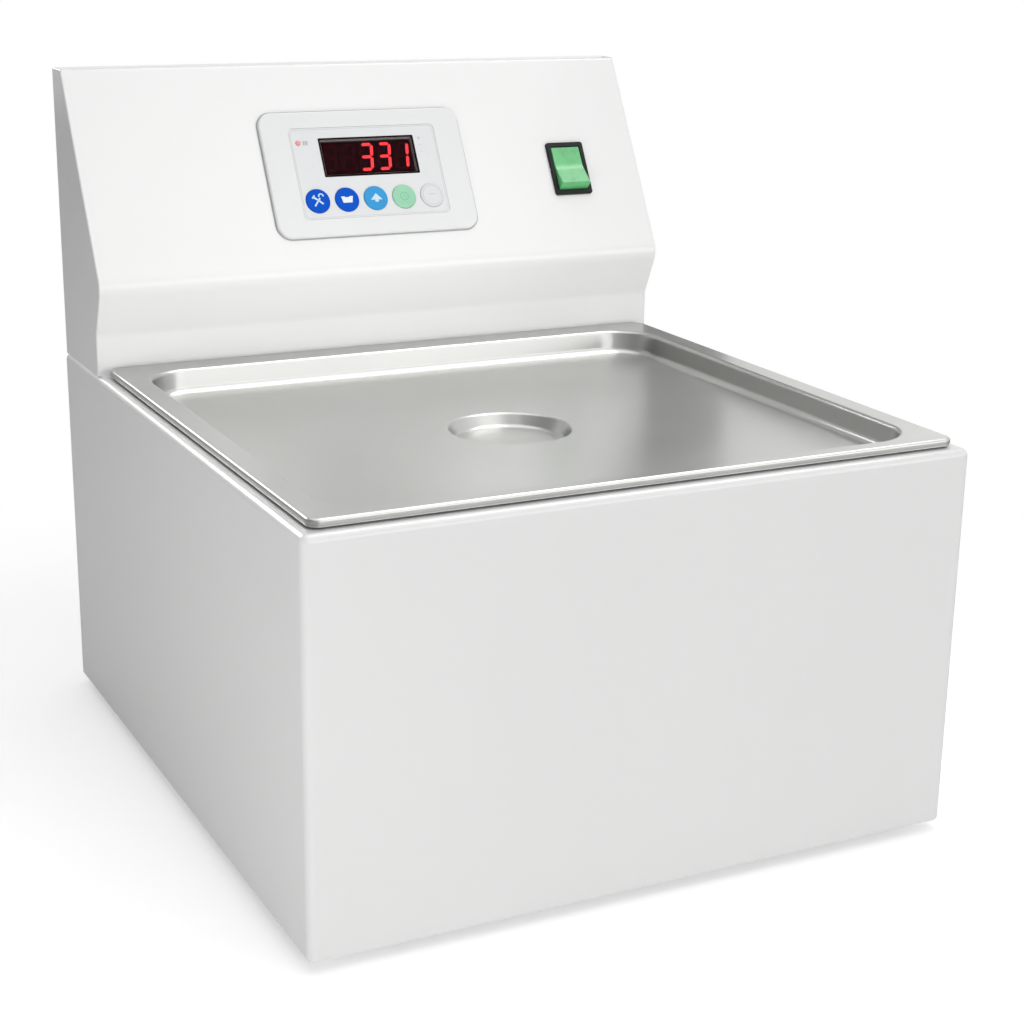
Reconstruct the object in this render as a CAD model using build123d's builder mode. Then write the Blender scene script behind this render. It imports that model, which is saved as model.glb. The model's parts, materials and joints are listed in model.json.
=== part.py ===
from build123d import *
import os
from math import atan2, cos, radians, sin, tan

os.makedirs("parts", exist_ok=True)

# Laboratory water bath with a sunken steel lid and a raised control console at the back.
# Lengths are in millimetres. X runs to the user's right, Y to the back and Z up.
# The origin is on the floor, under the middle of the whole footprint.

# Casing, bent from painted steel sheet
casing_width = 366.0
casing_depth = 403.0
casing_height = 208.0
sheet = 1.2
bend_radius = 4.0
flange_width = 14.0
base_sheet = 1.2
base_step = 1.0
rear_sheet = 1.2
rear_step = 3.0
overrun = 5.0
fit_gap = 0.3
pin_gap = 0.05

# Feet and screws
foot_height = 6.0
foot_width = 20.0
foot_toe_width = 17.0
foot_inset = 38.0
foot_recess_width = 10.0
foot_recess_depth = 3.2
foot_edge = 1.0
screw_width = 3.0
screw_hole_gap = 0.2
screw_reach = 6.0
head_width_share = 1.9
head_rise_share = 0.55
cross_width_share = 0.28
cross_length_share = 1.05
cross_depth_share = 0.3
nut_width_share = 1.75
nut_height_share = 0.8
console_screw_spread = 150.0

# Lid of stainless steel, which covers the casing's top up to the console
lid_side_margin = 6.0
lid_front_margin = 6.0
lid_rear_gap = 2.0
lid_corner = 6.0
lid_sheet = 0.8
lid_skirt = 3.0
lid_edge = 1.6
lid_seat_gap = 0.2
lid_side_rim = 14.0
lid_front_rim = 10.5
lid_rear_rim = 19.0
dish_depth = 14.0
dish_corner = 27.0
dish_draft = 8.0
dish_mouth_radius = 2.4
dish_floor_radius = 4.5
cup_width = 68.0
cup_depth = 7.5
cup_draft = 28.0
cup_lip_radius = 2.2
cup_floor_radius = 3.5

# Bath tank of stainless steel, which hangs by its rim on a gasket
tank_sheet = 0.8
tank_rim_step = 0.3
tank_dish_gap = 1.9
tank_corner = 30.0
tank_clearance = 59.8
tank_draft = 1.0
tank_mouth_radius = 2.4
tank_floor_radius = 14.0
gasket_height = 1.0
gasket_step = 2.0
casing_mouth_gap = 1.5
clip_width = 24.0
clip_leg = 7.0
clip_sheet = 1.2
clip_side_spread = 150.0
clip_front_spread = 160.0

# Insulation and what carries the tank's floor
wool_wall = 8.0
wool_top_gap = 16.0
wool_floor = 22.0
wool_port_width = 150.0
wool_port_height = 44.0
rail_width = 24.0
rail_flange = 12.0
rail_sheet = 1.5
rail_spread = 160.0
rail_length = 250.0

# Immersed heater, its glands, the probe and the cut-out
heater_tube = 8.0
heater_level = 24.0
heater_leg_spread = 80.0
heater_side_clearance = 59.2
heater_front_clearance = 82.0
heater_neck = 36.0
heater_bend = 18.0
heater_tail = 16.5
heater_pin = 3.0
heater_pin_reach = 10.0
gland_width = 12.0
gland_hex = 19.0
gland_hex_height = 4.0
gland_outer_reach = 10.0
probe_width = 6.0
probe_length = 110.0
probe_tail = 12.5
probe_x = -112.0
probe_rise = 14.0
cutout_width = 16.0
cutout_height = 7.0
cutout_flange_width = 22.0
cutout_flange_height = 1.5
blade_width = 6.3
blade_sheet = 0.8
blade_reach = 8.0

# Perforated shelf over the heater
tray_side_clearance = 38.2
tray_end_clearance = 36.7
tray_sheet = 1.5
tray_rise = 46.0
tray_corner = 20.0
tray_leg_length = 150.0
tray_hole = 12.0
tray_hole_pitch = 28.0
tray_border = 25.0

# Control console
console_inset = 0.5
console_height = 170.0
console_foot_depth = 70.0
console_knee_reach = 13.0
console_knee_height = 52.5
console_crease_height = 24.0
console_top_depth = 17.0
knee_radius = 12.0
crease_radius = 8.0
brow_radius = 2.5
console_edge = 1.0
console_flange = 10.0
wire_port_width = 90.0
wire_port_height = 24.0

# Vents in the covers
vent_length = 46.0
vent_width = 4.0
vent_pitch = 10.0
vent_rows = 6
vent_columns = 3
vent_column_pitch = 60.0
base_vent_rows = 5
base_vent_side_gap = 143.0

# Leads inside the casing
lead_width = 2.6
loom_width = 6.0
lead_drop = 16.0
lead_step = 9.0
lead_bend_share = 0.45

# Controller, seen square to the sloping panel
controller_x = -5.0
controller_rise = 63.0
frame_width = 131.0
frame_height = 80.0
frame_corner = 9.0
frame_thickness = 2.5
frame_edge = 1.2
overlay_width = 95.0
overlay_height = 58.0
overlay_corner = 3.0
overlay_thickness = 0.5
overlay_recess = 0.6
window_width = 62.0
window_height = 24.6
window_thickness = 1.2
window_lip = 1.5
window_x = 1.5
window_rise = 9.8
housing_side_clearance = 4.6
housing_end_clearance = 4.4
housing_depth = 28.0
housing_wall = 2.0
housing_gap = 0.4
board_thickness = 1.6
board_depth = 9.0
module_gap = 0.3
module_inset = 1.0
clamp_width = 9.0
clamp_height = 16.0
clamp_depth = 14.0
clamp_nose = 5.0

# Keys, the lamp and the digits
key_pitch = 18.7
key_drop = 17.6
key_width = 15.2
key_flange_width = 17.0
key_flange_thickness = 0.6
key_proud = 0.8
key_edge = 0.5
key_gap = 0.2
key_stem = 4.0
key_stem_reach = 2.0
key_names = ["set_key", "down_key", "up_key", "timer_key", "stop_key"]
tact_width = 6.0
tact_plunger = 3.2
tact_gap = 0.6
tact_rise = 3.6
lamp_x = -42.6
lamp_rise = 19.7
lamp_width = 3.0
lamp_proud = 0.6
digit_count = 5
digit_pitch = 11.8
digit_height = 14.0
digit_width = 6.6
digit_slant = 8.0
segment_width = 1.3
segment_gap = 0.35
segment_proud = 0.15
lit_digits = {2: "abcdg", 3: "abcdg", 4: "bc"}

# Lit power switch
switch_side_gap = 51.4
switch_rise = 59.0
switch_width = 26.0
switch_height = 35.0
switch_corner = 1.5
switch_bezel = 2.0
switch_body_width = 22.0
switch_body_height = 31.0
switch_body_depth = 22.0
switch_well_depth = 16.0
rocker_width = 20.0
rocker_gap = 0.3
rocker_sweep_radius = 14.2
rocker_axis_depth = 1.0
rocker_crown = 3.2
rocker_tip_rise = 5.6
rocker_belly = 6.5
rocker_tilt = 12.0
rocker_pin = 3.0
rocker_edge = 0.6

# Mains inlet with its fuse drawer, seen from behind
inlet_side_gap = 73.0
inlet_height = 70.0
inlet_width = 50.0
inlet_tall = 36.0
inlet_corner = 3.0
inlet_flange = 3.0
inlet_body_width = 29.0
inlet_body_tall = 32.0
inlet_body_depth = 26.0
inlet_gap = 0.4
inlet_screw_spread = 40.0
socket_width = 24.4
socket_tall = 16.8
socket_bevel = 5.0
socket_depth = 17.0
socket_drop = 5.0
earth_pin_rise = 3.4
live_pin_spread = 14.0
live_pin_drop = 2.2
pin_width = 4.0
pin_sheet = 2.0
pin_proud = 13.0
drawer_width = 23.0
drawer_tall = 7.4
drawer_rise = 10.8
drawer_length = 22.0
drawer_gap = 0.3
drawer_wall = 1.0
drawer_face = 2.0
drawer_grip_width = 9.0
drawer_grip_tall = 2.4
drawer_grip_depth = 1.0
fuse_length = 20.0
fuse_width = 5.2
fuse_glass_width = 4.6
fuse_cap = 4.5
fuse_pitch = 6.2

# Relay, its heat sink, the terminal block and the earth stud
sink_x = -60.0
sink_height = 100.0
sink_width = 84.0
sink_tall = 64.0
sink_base = 4.0
sink_fin = 2.0
sink_fin_reach = 14.0
sink_fin_count = 7
sink_edge = 8.0
relay_width = 45.0
relay_tall = 58.0
relay_depth = 22.0
relay_notch = 12.0
relay_notch_depth = 6.0
relay_screw_width = 6.0
relay_screw_rise = 2.0
block_width = 66.0
block_depth = 20.0
block_height = 17.0
block_poles = 6
block_screw_width = 5.0
block_wall = 1.6
block_slot_depth = 5.0
block_side_gap = 99.0
block_rear_gap = 45.0
earth_stud_width = 5.0
earth_stud_reach = 14.0
earth_stud_step = 50.0
earth_stud_height = 45.0
earth_head_width = 10.0
earth_head_height = 1.5

# Levels, from the floor up
base_bottom = foot_height
casing_bottom = base_bottom + base_sheet
casing_top = casing_bottom + casing_height
tank_rim_top = casing_top + gasket_height + tank_sheet
lid_seat = tank_rim_top + lid_seat_gap
lid_top = lid_seat + lid_skirt
tank_floor = casing_bottom + tank_clearance
tank_underside = tank_floor - tank_sheet
console_top = casing_top + console_height
knee_z = casing_top + console_knee_height
crease_z = casing_top + console_crease_height

# Faces, from the front back
footprint_depth = casing_depth + rear_sheet + inlet_flange
front_y = -footprint_depth / 2
rear_y = front_y + casing_depth
rear_face_y = rear_y + rear_sheet
casing_mid_y = (front_y + rear_y) / 2
foot_panel_y = rear_y - console_foot_depth
lid_front_y = front_y + lid_front_margin
lid_rear_y = foot_panel_y - lid_rear_gap
lid_mid_y = (lid_front_y + lid_rear_y) / 2
dish_front_y = lid_front_y + lid_front_rim
dish_rear_y = lid_rear_y - lid_rear_rim
dish_mid_y = (dish_front_y + dish_rear_y) / 2
knee_y = foot_panel_y - console_knee_reach
brow_y = rear_y - console_top_depth
console_mid_y = (foot_panel_y + rear_y) / 2

# Places across the casing that follow its right side
switch_x = casing_width / 2 - switch_side_gap
inlet_x = casing_width / 2 - inlet_side_gap
block_x = casing_width / 2 - block_side_gap
earth_stud_x = inlet_x - earth_stud_step

# Sizes of the lid, the tank and what goes round it
lid_width = casing_width - 2 * lid_side_margin
lid_depth = lid_rear_y - lid_front_y
dish_width = lid_width - 2 * lid_side_rim
dish_length = dish_rear_y - dish_front_y
tank_depth = tank_rim_top - tank_floor
tank_rim = min(lid_side_rim, lid_front_rim, lid_rear_rim) - lid_sheet - tank_rim_step - tank_dish_gap
rim_width = lid_width - 2 * tank_rim_step
rim_depth = lid_depth - 2 * tank_rim_step
rim_corner = lid_corner - tank_rim_step
mouth_width = rim_width - 2 * tank_rim
mouth_depth = rim_depth - 2 * tank_rim
tank_width = mouth_width + 2 * tank_sheet
tank_length = mouth_depth + 2 * tank_sheet
tank_outer_corner = tank_corner + tank_sheet
draft_slope = tan(radians(tank_draft))
mouth_front_y = lid_mid_y - mouth_depth / 2
tank_rear_y = lid_mid_y + tank_length / 2
heater_z = tank_floor + heater_level
heater_wall_y = tank_rear_y - draft_slope * (tank_rim_top - heater_z)
probe_z = heater_z + probe_rise
probe_wall_y = tank_rear_y - draft_slope * (tank_rim_top - probe_z)

# Working planes
panel_lean = atan2(brow_y - knee_y, console_top - knee_z)
panel_normal = (0, -cos(panel_lean), sin(panel_lean))
panel = Plane(origin=(0, knee_y, knee_z), x_dir=(1, 0, 0), z_dir=panel_normal)
rear_flat = Plane(origin=(0, rear_y, 0), x_dir=(-1, 0, 0), z_dir=(0, 1, 0))
rear_outside = rear_flat.offset(rear_sheet)
controller_face = Plane(
    origin=panel.from_local_coords(Vector(controller_x, controller_rise, 0)),
    x_dir=(1, 0, 0),
    z_dir=panel_normal,
)
switch_face = Plane(
    origin=panel.from_local_coords(Vector(switch_x, switch_rise, 0)),
    x_dir=(1, 0, 0),
    z_dir=panel_normal,
)
inlet_face = Plane(
    origin=(inlet_x, rear_face_y, base_bottom + inlet_height),
    x_dir=(-1, 0, 0),
    z_dir=(0, 1, 0),
)


# Places that more than one piece shares
def mirrored(x, y):
    """The four corners of a rectangle round the casing's middle line."""
    return [(-x, y[0]), (x, y[0]), (-x, y[1]), (x, y[1])]


foot_places = mirrored(
    casing_width / 2 - foot_inset,
    (front_y + foot_inset, rear_y - foot_inset),
)
flange_line = flange_width / 2
base_screw_places = mirrored(
    casing_width / 2 - flange_line,
    (front_y + casing_depth / 4, rear_y - casing_depth / 4),
)
rear_row_low = casing_bottom + flange_line
rear_row_high = casing_top - flange_line
rear_row_middle = (rear_row_low + rear_row_high) / 2
rear_screw_x = casing_width / 2 - flange_line
rear_screw_places = [
    (side * rear_screw_x, height)
    for side in (-1, 1)
    for height in (rear_row_low, rear_row_middle, rear_row_high)
]
cover_row_low = casing_top + console_flange / 2
cover_row_high = console_top - console_flange / 2
cover_screw_x = casing_width / 2 - console_inset - console_flange / 2
cover_screw_places = [
    (side * cover_screw_x, height)
    for side in (-1, 1)
    for height in (cover_row_low, cover_row_high)
]
hold_screw_y = foot_panel_y + console_flange / 2
hold_screw_places = [(-console_screw_spread / 2, hold_screw_y), (console_screw_spread / 2, hold_screw_y)]
screw_hole = screw_width / 2 + screw_hole_gap
sink_screw_x = (sink_width - sink_edge) / 2
sink_screw_places = [
    (-sink_x - sink_screw_x, base_bottom + sink_height),
    (-sink_x + sink_screw_x, base_bottom + sink_height),
]
key_row_end = (len(key_names) - 1) / 2 * key_pitch
housing_width = 2 * (key_row_end + tact_width / 2 + housing_side_clearance + housing_wall)
housing_height = 2 * (key_drop + tact_width / 2 + housing_end_clearance + housing_wall)
key_places = [
    (column * key_pitch - key_row_end, -key_drop)
    for column in range(len(key_names))
]


def pan_screws(face, places, reach):
    """Cross-head screws that sit on a face and point against its normal."""
    head_rise = screw_width * head_rise_share
    out = Axis(face.origin, face.z_dir)
    with BuildPart() as group:
        with BuildSketch(face):
            with Locations(*places):
                Circle(screw_width * head_width_share / 2)
        extrude(amount=head_rise)
        fillet(group.edges().group_by(out)[-1], head_rise / 2)
        with BuildSketch(face):
            with Locations(*places):
                Circle(screw_width / 2)
        extrude(amount=-reach)
        with BuildSketch(face.offset(head_rise)):
            with Locations(*places):
                Rectangle(screw_width * cross_length_share, screw_width * cross_width_share)
                Rectangle(screw_width * cross_width_share, screw_width * cross_length_share)
        extrude(amount=-screw_width * cross_depth_share, mode=Mode.SUBTRACT)
    return group


def hex_nuts(face, places, bore_width):
    """Hexagon nuts that sit on a face, round a bore."""
    with BuildPart() as group:
        with BuildSketch(face):
            with Locations(*places):
                RegularPolygon(bore_width * nut_width_share / 2, 6, major_radius=False)
                Circle(bore_width / 2, mode=Mode.SUBTRACT)
        extrude(amount=bore_width * nut_height_share)
    return group


# Outer casing: one folded shell of front, sides and top, with flanges behind and below
with BuildPart() as casing_space:
    with BuildSketch(Plane.XY.offset(casing_bottom + sheet)):
        with Locations((0, casing_mid_y)):
            Rectangle(casing_width - 2 * sheet, casing_depth - 2 * sheet)
    extrude(amount=casing_height - 2 * sheet)
    fillet(casing_space.edges().filter_by(Axis.Z).group_by(Axis.Y)[0], bend_radius - sheet)
    fillet(casing_space.faces().sort_by(Axis.Z)[-1].edges().sort_by(Axis.Y)[:-1], bend_radius - sheet)

with BuildPart() as outer_casing:
    with BuildSketch(Plane.XY.offset(casing_bottom)):
        with Locations((0, casing_mid_y)):
            Rectangle(casing_width, casing_depth)
    extrude(amount=casing_height)
    fillet(outer_casing.edges().filter_by(Axis.Z).group_by(Axis.Y)[0], bend_radius)
    fillet(outer_casing.faces().sort_by(Axis.Z)[-1].edges().sort_by(Axis.Y)[:-1], bend_radius)
    add(casing_space.part, mode=Mode.SUBTRACT)
    with BuildSketch(Plane.XY.offset(casing_bottom - overrun)):
        with Locations((0, casing_mid_y)):
            Rectangle(casing_width - 2 * flange_width, casing_depth - 2 * flange_width)
        with Locations(*base_screw_places):
            Circle(screw_hole)
    extrude(amount=sheet + 2 * overrun, mode=Mode.SUBTRACT)
    with BuildSketch(rear_flat.offset(overrun)):
        with Locations((0, (casing_bottom + casing_top) / 2)):
            Rectangle(casing_width - 2 * flange_width, casing_height - 2 * flange_width)
        with Locations(*rear_screw_places):
            Circle(screw_hole)
    extrude(amount=-sheet - 2 * overrun, mode=Mode.SUBTRACT)
    with BuildSketch(Plane.XY.offset(casing_top + overrun)):
        with Locations((0, lid_mid_y)):
            RectangleRounded(
                tank_width + 2 * casing_mouth_gap,
                tank_length + 2 * casing_mouth_gap,
                tank_outer_corner + casing_mouth_gap,
            )
        with Locations((0, console_mid_y)):
            SlotOverall(wire_port_width, wire_port_height)
        with Locations(*hold_screw_places):
            Circle(screw_hole)
    extrude(amount=-sheet - 2 * overrun, mode=Mode.SUBTRACT)
outer_casing.part.label = "outer_casing"
export_step(outer_casing.part, "parts/outer_casing.step")

# Base plate, screwed under the casing's lower flange, with cooling slots at the back
base_width = casing_width - 2 * base_step
base_depth = casing_depth - 2 * base_step
base_vent_x = base_vent_side_gap - casing_width / 2
base_vent_y = rear_y - console_foot_depth / 2
with BuildPart() as base_plate:
    with BuildSketch(Plane.XY.offset(base_bottom)):
        with Locations((0, casing_mid_y)):
            RectangleRounded(base_width, base_depth, bend_radius - base_step)
        with Locations(*foot_places, *base_screw_places):
            Circle(screw_hole, mode=Mode.SUBTRACT)
        with Locations((base_vent_x, base_vent_y)):
            with GridLocations(vent_column_pitch, vent_pitch, vent_columns, base_vent_rows):
                SlotOverall(vent_length, vent_width, mode=Mode.SUBTRACT)
    extrude(amount=base_sheet)
base_plate.part.label = "base_plate"
export_step(base_plate.part, "parts/base_plate.step")

# Four rubber feet, each held by a sunken screw and a nut
foot_names = ["foot_front_left", "foot_front_right", "foot_rear_left", "foot_rear_right"]
for foot_name, foot_place in zip(foot_names, foot_places):
    with BuildPart() as foot:
        with Locations((*foot_place, foot_height / 2)):
            Cone(foot_toe_width / 2, foot_width / 2, foot_height)
        fillet(foot.edges().sort_by(Axis.Z)[0], foot_edge)
        with BuildSketch(Plane.XY):
            with Locations(foot_place):
                Circle(foot_recess_width / 2)
        extrude(amount=foot_recess_depth, mode=Mode.SUBTRACT)
        with BuildSketch(Plane.XY):
            with Locations(foot_place):
                Circle(screw_hole)
        extrude(amount=foot_height, mode=Mode.SUBTRACT)
    foot.part.label = foot_name
    export_step(foot.part, "parts/" + foot_name + ".step")

foot_screw_reach = foot_height - foot_recess_depth + base_sheet + screw_width
foot_screws = pan_screws(
    Plane.XY.offset(foot_recess_depth).rotated((180, 0, 0)),
    [(x, -y) for x, y in foot_places],
    foot_screw_reach,
)
foot_screws.part.label = "foot_screws"
export_step(foot_screws.part, "parts/foot_screws.step")

foot_nuts = hex_nuts(Plane.XY.offset(casing_bottom), foot_places, screw_width)
foot_nuts.part.label = "foot_nuts"
export_step(foot_nuts.part, "parts/foot_nuts.step")

# Rear panel with cooling slots and the inlet's cut-out
panel_tall = casing_height - 2 * rear_step
rear_mid_z = (casing_bottom + casing_top) / 2
with BuildPart() as rear_panel:
    with BuildSketch(rear_flat):
        with Locations((0, rear_mid_z)):
            RectangleRounded(casing_width - 2 * rear_step, panel_tall, rear_step)
        with Locations(*rear_screw_places):
            Circle(screw_hole, mode=Mode.SUBTRACT)
        with Locations((-sink_x, base_bottom + sink_height)):
            with GridLocations(vent_column_pitch, vent_pitch, 2, vent_rows):
                SlotOverall(vent_length, vent_width, mode=Mode.SUBTRACT)
    extrude(amount=rear_sheet)
    with BuildSketch(inlet_face.offset(overrun)):
        Rectangle(inlet_body_width + 2 * inlet_gap, inlet_body_tall + 2 * inlet_gap)
        with Locations((-inlet_screw_spread / 2, 0), (inlet_screw_spread / 2, 0)):
            Circle(screw_hole)
    extrude(amount=-rear_sheet - 2 * overrun, mode=Mode.SUBTRACT)
    with BuildSketch(rear_outside.offset(overrun)):
        with Locations(*sink_screw_places):
            Circle(screw_hole)
    extrude(amount=-rear_sheet - 2 * overrun, mode=Mode.SUBTRACT)
rear_panel.part.label = "rear_panel"
export_step(rear_panel.part, "parts/rear_panel.step")

# The screws that close the casing, four from below and six from behind
base_row = pan_screws(
    Plane.XY.offset(base_bottom).rotated((180, 0, 0)),
    [(x, -y) for x, y in base_screw_places],
    screw_reach,
)
rear_row = pan_screws(rear_outside, rear_screw_places, screw_reach)
with BuildPart() as casing_screws:
    add(base_row.part)
    add(rear_row.part)
casing_screws.part.label = "casing_screws"
export_step(casing_screws.part, "parts/casing_screws.step")

# Gasket between the casing's top and the tank's rim
with BuildPart() as tank_gasket:
    with BuildSketch(Plane.XY.offset(casing_top)):
        with Locations((0, lid_mid_y)):
            RectangleRounded(
                rim_width - 2 * gasket_step,
                rim_depth - 2 * gasket_step,
                rim_corner - gasket_step,
            )
            RectangleRounded(
                tank_width + 2 * tank_mouth_radius,
                tank_length + 2 * tank_mouth_radius,
                tank_outer_corner + tank_mouth_radius,
                mode=Mode.SUBTRACT,
            )
    extrude(amount=gasket_height)
tank_gasket.part.label = "tank_gasket"
export_step(tank_gasket.part, "parts/tank_gasket.step")

# Bath tank: a deep-drawn pan with a flat rim and ports for the heater and the probe
with BuildPart() as tank_space:
    with BuildSketch(Plane.XY.offset(tank_rim_top)):
        with Locations((0, lid_mid_y)):
            RectangleRounded(mouth_width, mouth_depth, tank_corner)
    extrude(amount=-tank_depth, taper=tank_draft)
    fillet(tank_space.faces().sort_by(Axis.Z)[0].edges(), tank_floor_radius)

heater_leg_places = [(-heater_leg_spread / 2, heater_z), (heater_leg_spread / 2, heater_z)]
port_plane = Plane(origin=(0, tank_rear_y + overrun, 0), x_dir=(-1, 0, 0), z_dir=(0, 1, 0))
with BuildPart() as bath_tank:
    with BuildSketch(Plane.XY.offset(tank_rim_top)):
        with Locations((0, lid_mid_y)):
            RectangleRounded(tank_width, tank_length, tank_outer_corner)
    extrude(amount=-tank_depth - tank_sheet, taper=tank_draft)
    fillet(bath_tank.faces().sort_by(Axis.Z)[0].edges(), tank_floor_radius + tank_sheet)
    with BuildSketch(Plane.XY.offset(tank_rim_top)):
        with Locations((0, lid_mid_y)):
            RectangleRounded(rim_width, rim_depth, rim_corner)
    extrude(amount=-tank_sheet)
    under_rim = bath_tank.faces().filter_by(Axis.Z).sort_by(Axis.Z)[-2]
    fillet(under_rim.inner_wires()[0].edges(), tank_mouth_radius - tank_sheet)
    add(tank_space.part, mode=Mode.SUBTRACT)
    rim_top = bath_tank.faces().filter_by(Axis.Z).sort_by(Axis.Z)[-1]
    fillet(rim_top.inner_wires()[0].edges(), tank_mouth_radius)
    with BuildSketch(port_plane):
        with Locations(*heater_leg_places):
            Circle(gland_width / 2 + fit_gap)
        with Locations((-probe_x, probe_z)):
            Circle(probe_width / 2 + tank_sheet + fit_gap)
    extrude(amount=-tank_rim - 2 * overrun, mode=Mode.SUBTRACT)
bath_tank.part.label = "bath_tank"
export_step(bath_tank.part, "parts/bath_tank.step")

# Clips that pull the tank's rim down onto the gasket, from under the casing's top
clip_top = casing_top - sheet
clip_front_y = lid_mid_y - tank_length / 2
clip_reach = casing_mouth_gap + clip_leg
with BuildPart() as tank_clips:
    for side in (-1, 1):
        for along in (-clip_side_spread / 2, clip_side_spread / 2):
            edge_x = side * tank_width / 2
            with Locations((edge_x + side * clip_reach / 2, lid_mid_y + along, clip_top - clip_sheet / 2)):
                Box(clip_reach, clip_width, clip_sheet)
            with Locations((edge_x + side * clip_sheet / 2, lid_mid_y + along, clip_top - clip_leg / 2)):
                Box(clip_sheet, clip_width, clip_leg)
    for across in (-clip_front_spread / 2, clip_front_spread / 2):
        with Locations((across, clip_front_y - clip_reach / 2, clip_top - clip_sheet / 2)):
            Box(clip_width, clip_reach, clip_sheet)
        with Locations((across, clip_front_y - clip_sheet / 2, clip_top - clip_leg / 2)):
            Box(clip_width, clip_sheet, clip_leg)
tank_clips.part.label = "tank_clips"
export_step(tank_clips.part, "parts/tank_clips.step")

# Mineral wool boards round and under the tank
wool_top = casing_top - wool_top_gap
wool_bottom = tank_underside - wool_floor
wool_inner_width = tank_width + 2 * fit_gap
wool_inner_depth = tank_length + 2 * fit_gap
with BuildPart() as wool_jacket:
    with BuildSketch(Plane.XY.offset(wool_bottom)):
        with Locations((0, lid_mid_y)):
            RectangleRounded(
                wool_inner_width + 2 * wool_wall,
                wool_inner_depth + 2 * wool_wall,
                tank_outer_corner + fit_gap,
            )
            RectangleRounded(wool_inner_width, wool_inner_depth, tank_outer_corner, mode=Mode.SUBTRACT)
    extrude(amount=wool_top - wool_bottom)
    with BuildSketch(port_plane.offset(wool_wall)):
        with Locations((0, heater_z)):
            Rectangle(wool_port_width, wool_port_height)
        with Locations((-probe_x, probe_z)):
            Circle(gland_hex)
    extrude(amount=-wool_wall - 2 * overrun, mode=Mode.SUBTRACT)
wool_jacket.part.label = "wool_jacket"
export_step(wool_jacket.part, "parts/wool_jacket.step")

with BuildPart() as wool_base:
    with BuildSketch(Plane.XY.offset(wool_bottom)):
        with Locations((0, lid_mid_y)):
            RectangleRounded(
                wool_inner_width - 2 * fit_gap,
                wool_inner_depth - 2 * fit_gap,
                tank_outer_corner - fit_gap,
            )
    extrude(amount=wool_floor)
wool_base.part.label = "wool_base"
export_step(wool_base.part, "parts/wool_base.step")

# Two channel rails that stand on the base plate and carry the tank through the wool
rail_bottom = casing_bottom
rail_height = wool_bottom - rail_bottom
rail_hollow = rail_width - 2 * rail_sheet
flange_middle = (rail_width + rail_flange) / 2
with BuildPart() as support_rails:
    with BuildSketch(Plane.XZ.offset(-lid_mid_y - rail_length / 2)):
        for rail_x in (-rail_spread / 2, rail_spread / 2):
            with Locations((rail_x, rail_bottom + rail_height / 2)):
                Rectangle(rail_width, rail_height)
            with Locations((rail_x, rail_bottom + (rail_height - rail_sheet) / 2)):
                Rectangle(rail_hollow, rail_height - rail_sheet, mode=Mode.SUBTRACT)
            with Locations((rail_x, rail_bottom + rail_sheet / 2)):
                with Locations((-flange_middle, 0), (flange_middle, 0)):
                    Rectangle(rail_flange, rail_sheet)
    extrude(amount=rail_length)
support_rails.part.label = "support_rails"
export_step(support_rails.part, "parts/support_rails.step")

# Immersed heater: one bent tube that runs out of the tank's rear wall at both ends
heater_tail_y = heater_wall_y + heater_tail
heater_neck_y = heater_wall_y - heater_neck
heater_front_y = mouth_front_y + heater_front_clearance
heater_leg_x = heater_leg_spread / 2
heater_side_x = mouth_width / 2 - heater_side_clearance
with BuildPart() as heater_element:
    with BuildLine(Plane.XY.offset(heater_z)) as heater_path:
        FilletPolyline(
            (-heater_leg_x, heater_tail_y),
            (-heater_leg_x, heater_neck_y),
            (-heater_side_x, heater_neck_y),
            (-heater_side_x, heater_front_y),
            (heater_side_x, heater_front_y),
            (heater_side_x, heater_neck_y),
            (heater_leg_x, heater_neck_y),
            (heater_leg_x, heater_tail_y),
            radius=heater_bend,
        )
    with BuildSketch(Plane(origin=heater_path.line @ 0, z_dir=heater_path.line % 0)):
        Circle(heater_tube / 2)
    sweep()
    with BuildSketch(rear_flat.offset(heater_tail_y - rear_y)):
        with Locations(*heater_leg_places):
            Circle(heater_pin / 2)
    extrude(amount=heater_pin_reach)
print("heater length", sum(edge.length for edge in heater_path.edges()), "bend radius", heater_bend)
heater_element.part.label = "heater_element"
export_step(heater_element.part, "parts/heater_element.step")

# Glands that seal the heater's legs in the wall: hexagon inside, sleeve through, nut outside
heater_wall = Plane(origin=(0, heater_wall_y, 0), x_dir=(-1, 0, 0), z_dir=(0, 1, 0))
gland_lean = gland_hex / 2 * draft_slope + fit_gap
inside_wall = heater_wall.offset(-tank_sheet - gland_lean)
outside_wall = heater_wall.offset(gland_lean)
with BuildPart() as heater_glands:
    with BuildSketch(inside_wall):
        with Locations(*heater_leg_places):
            RegularPolygon(gland_hex / 2, 6, major_radius=False)
    extrude(amount=-gland_hex_height)
    with BuildSketch(inside_wall):
        with Locations(*heater_leg_places):
            Circle(gland_width / 2)
    extrude(amount=gland_lean * 2 + tank_sheet + gland_outer_reach)
    with BuildSketch(inside_wall.offset(-gland_hex_height - overrun)):
        with Locations(*heater_leg_places):
            Circle(heater_tube / 2 + pin_gap)
    extrude(amount=heater_tail + heater_neck, mode=Mode.SUBTRACT)
heater_glands.part.label = "heater_glands"
export_step(heater_glands.part, "parts/heater_glands.step")

with BuildPart() as heater_nuts:
    with BuildSketch(outside_wall):
        with Locations(*heater_leg_places):
            RegularPolygon(gland_hex / 2, 6, major_radius=False)
            Circle(gland_width / 2 + pin_gap, mode=Mode.SUBTRACT)
    extrude(amount=gland_hex_height)
heater_nuts.part.label = "heater_nuts"
export_step(heater_nuts.part, "parts/heater_nuts.step")

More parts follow.
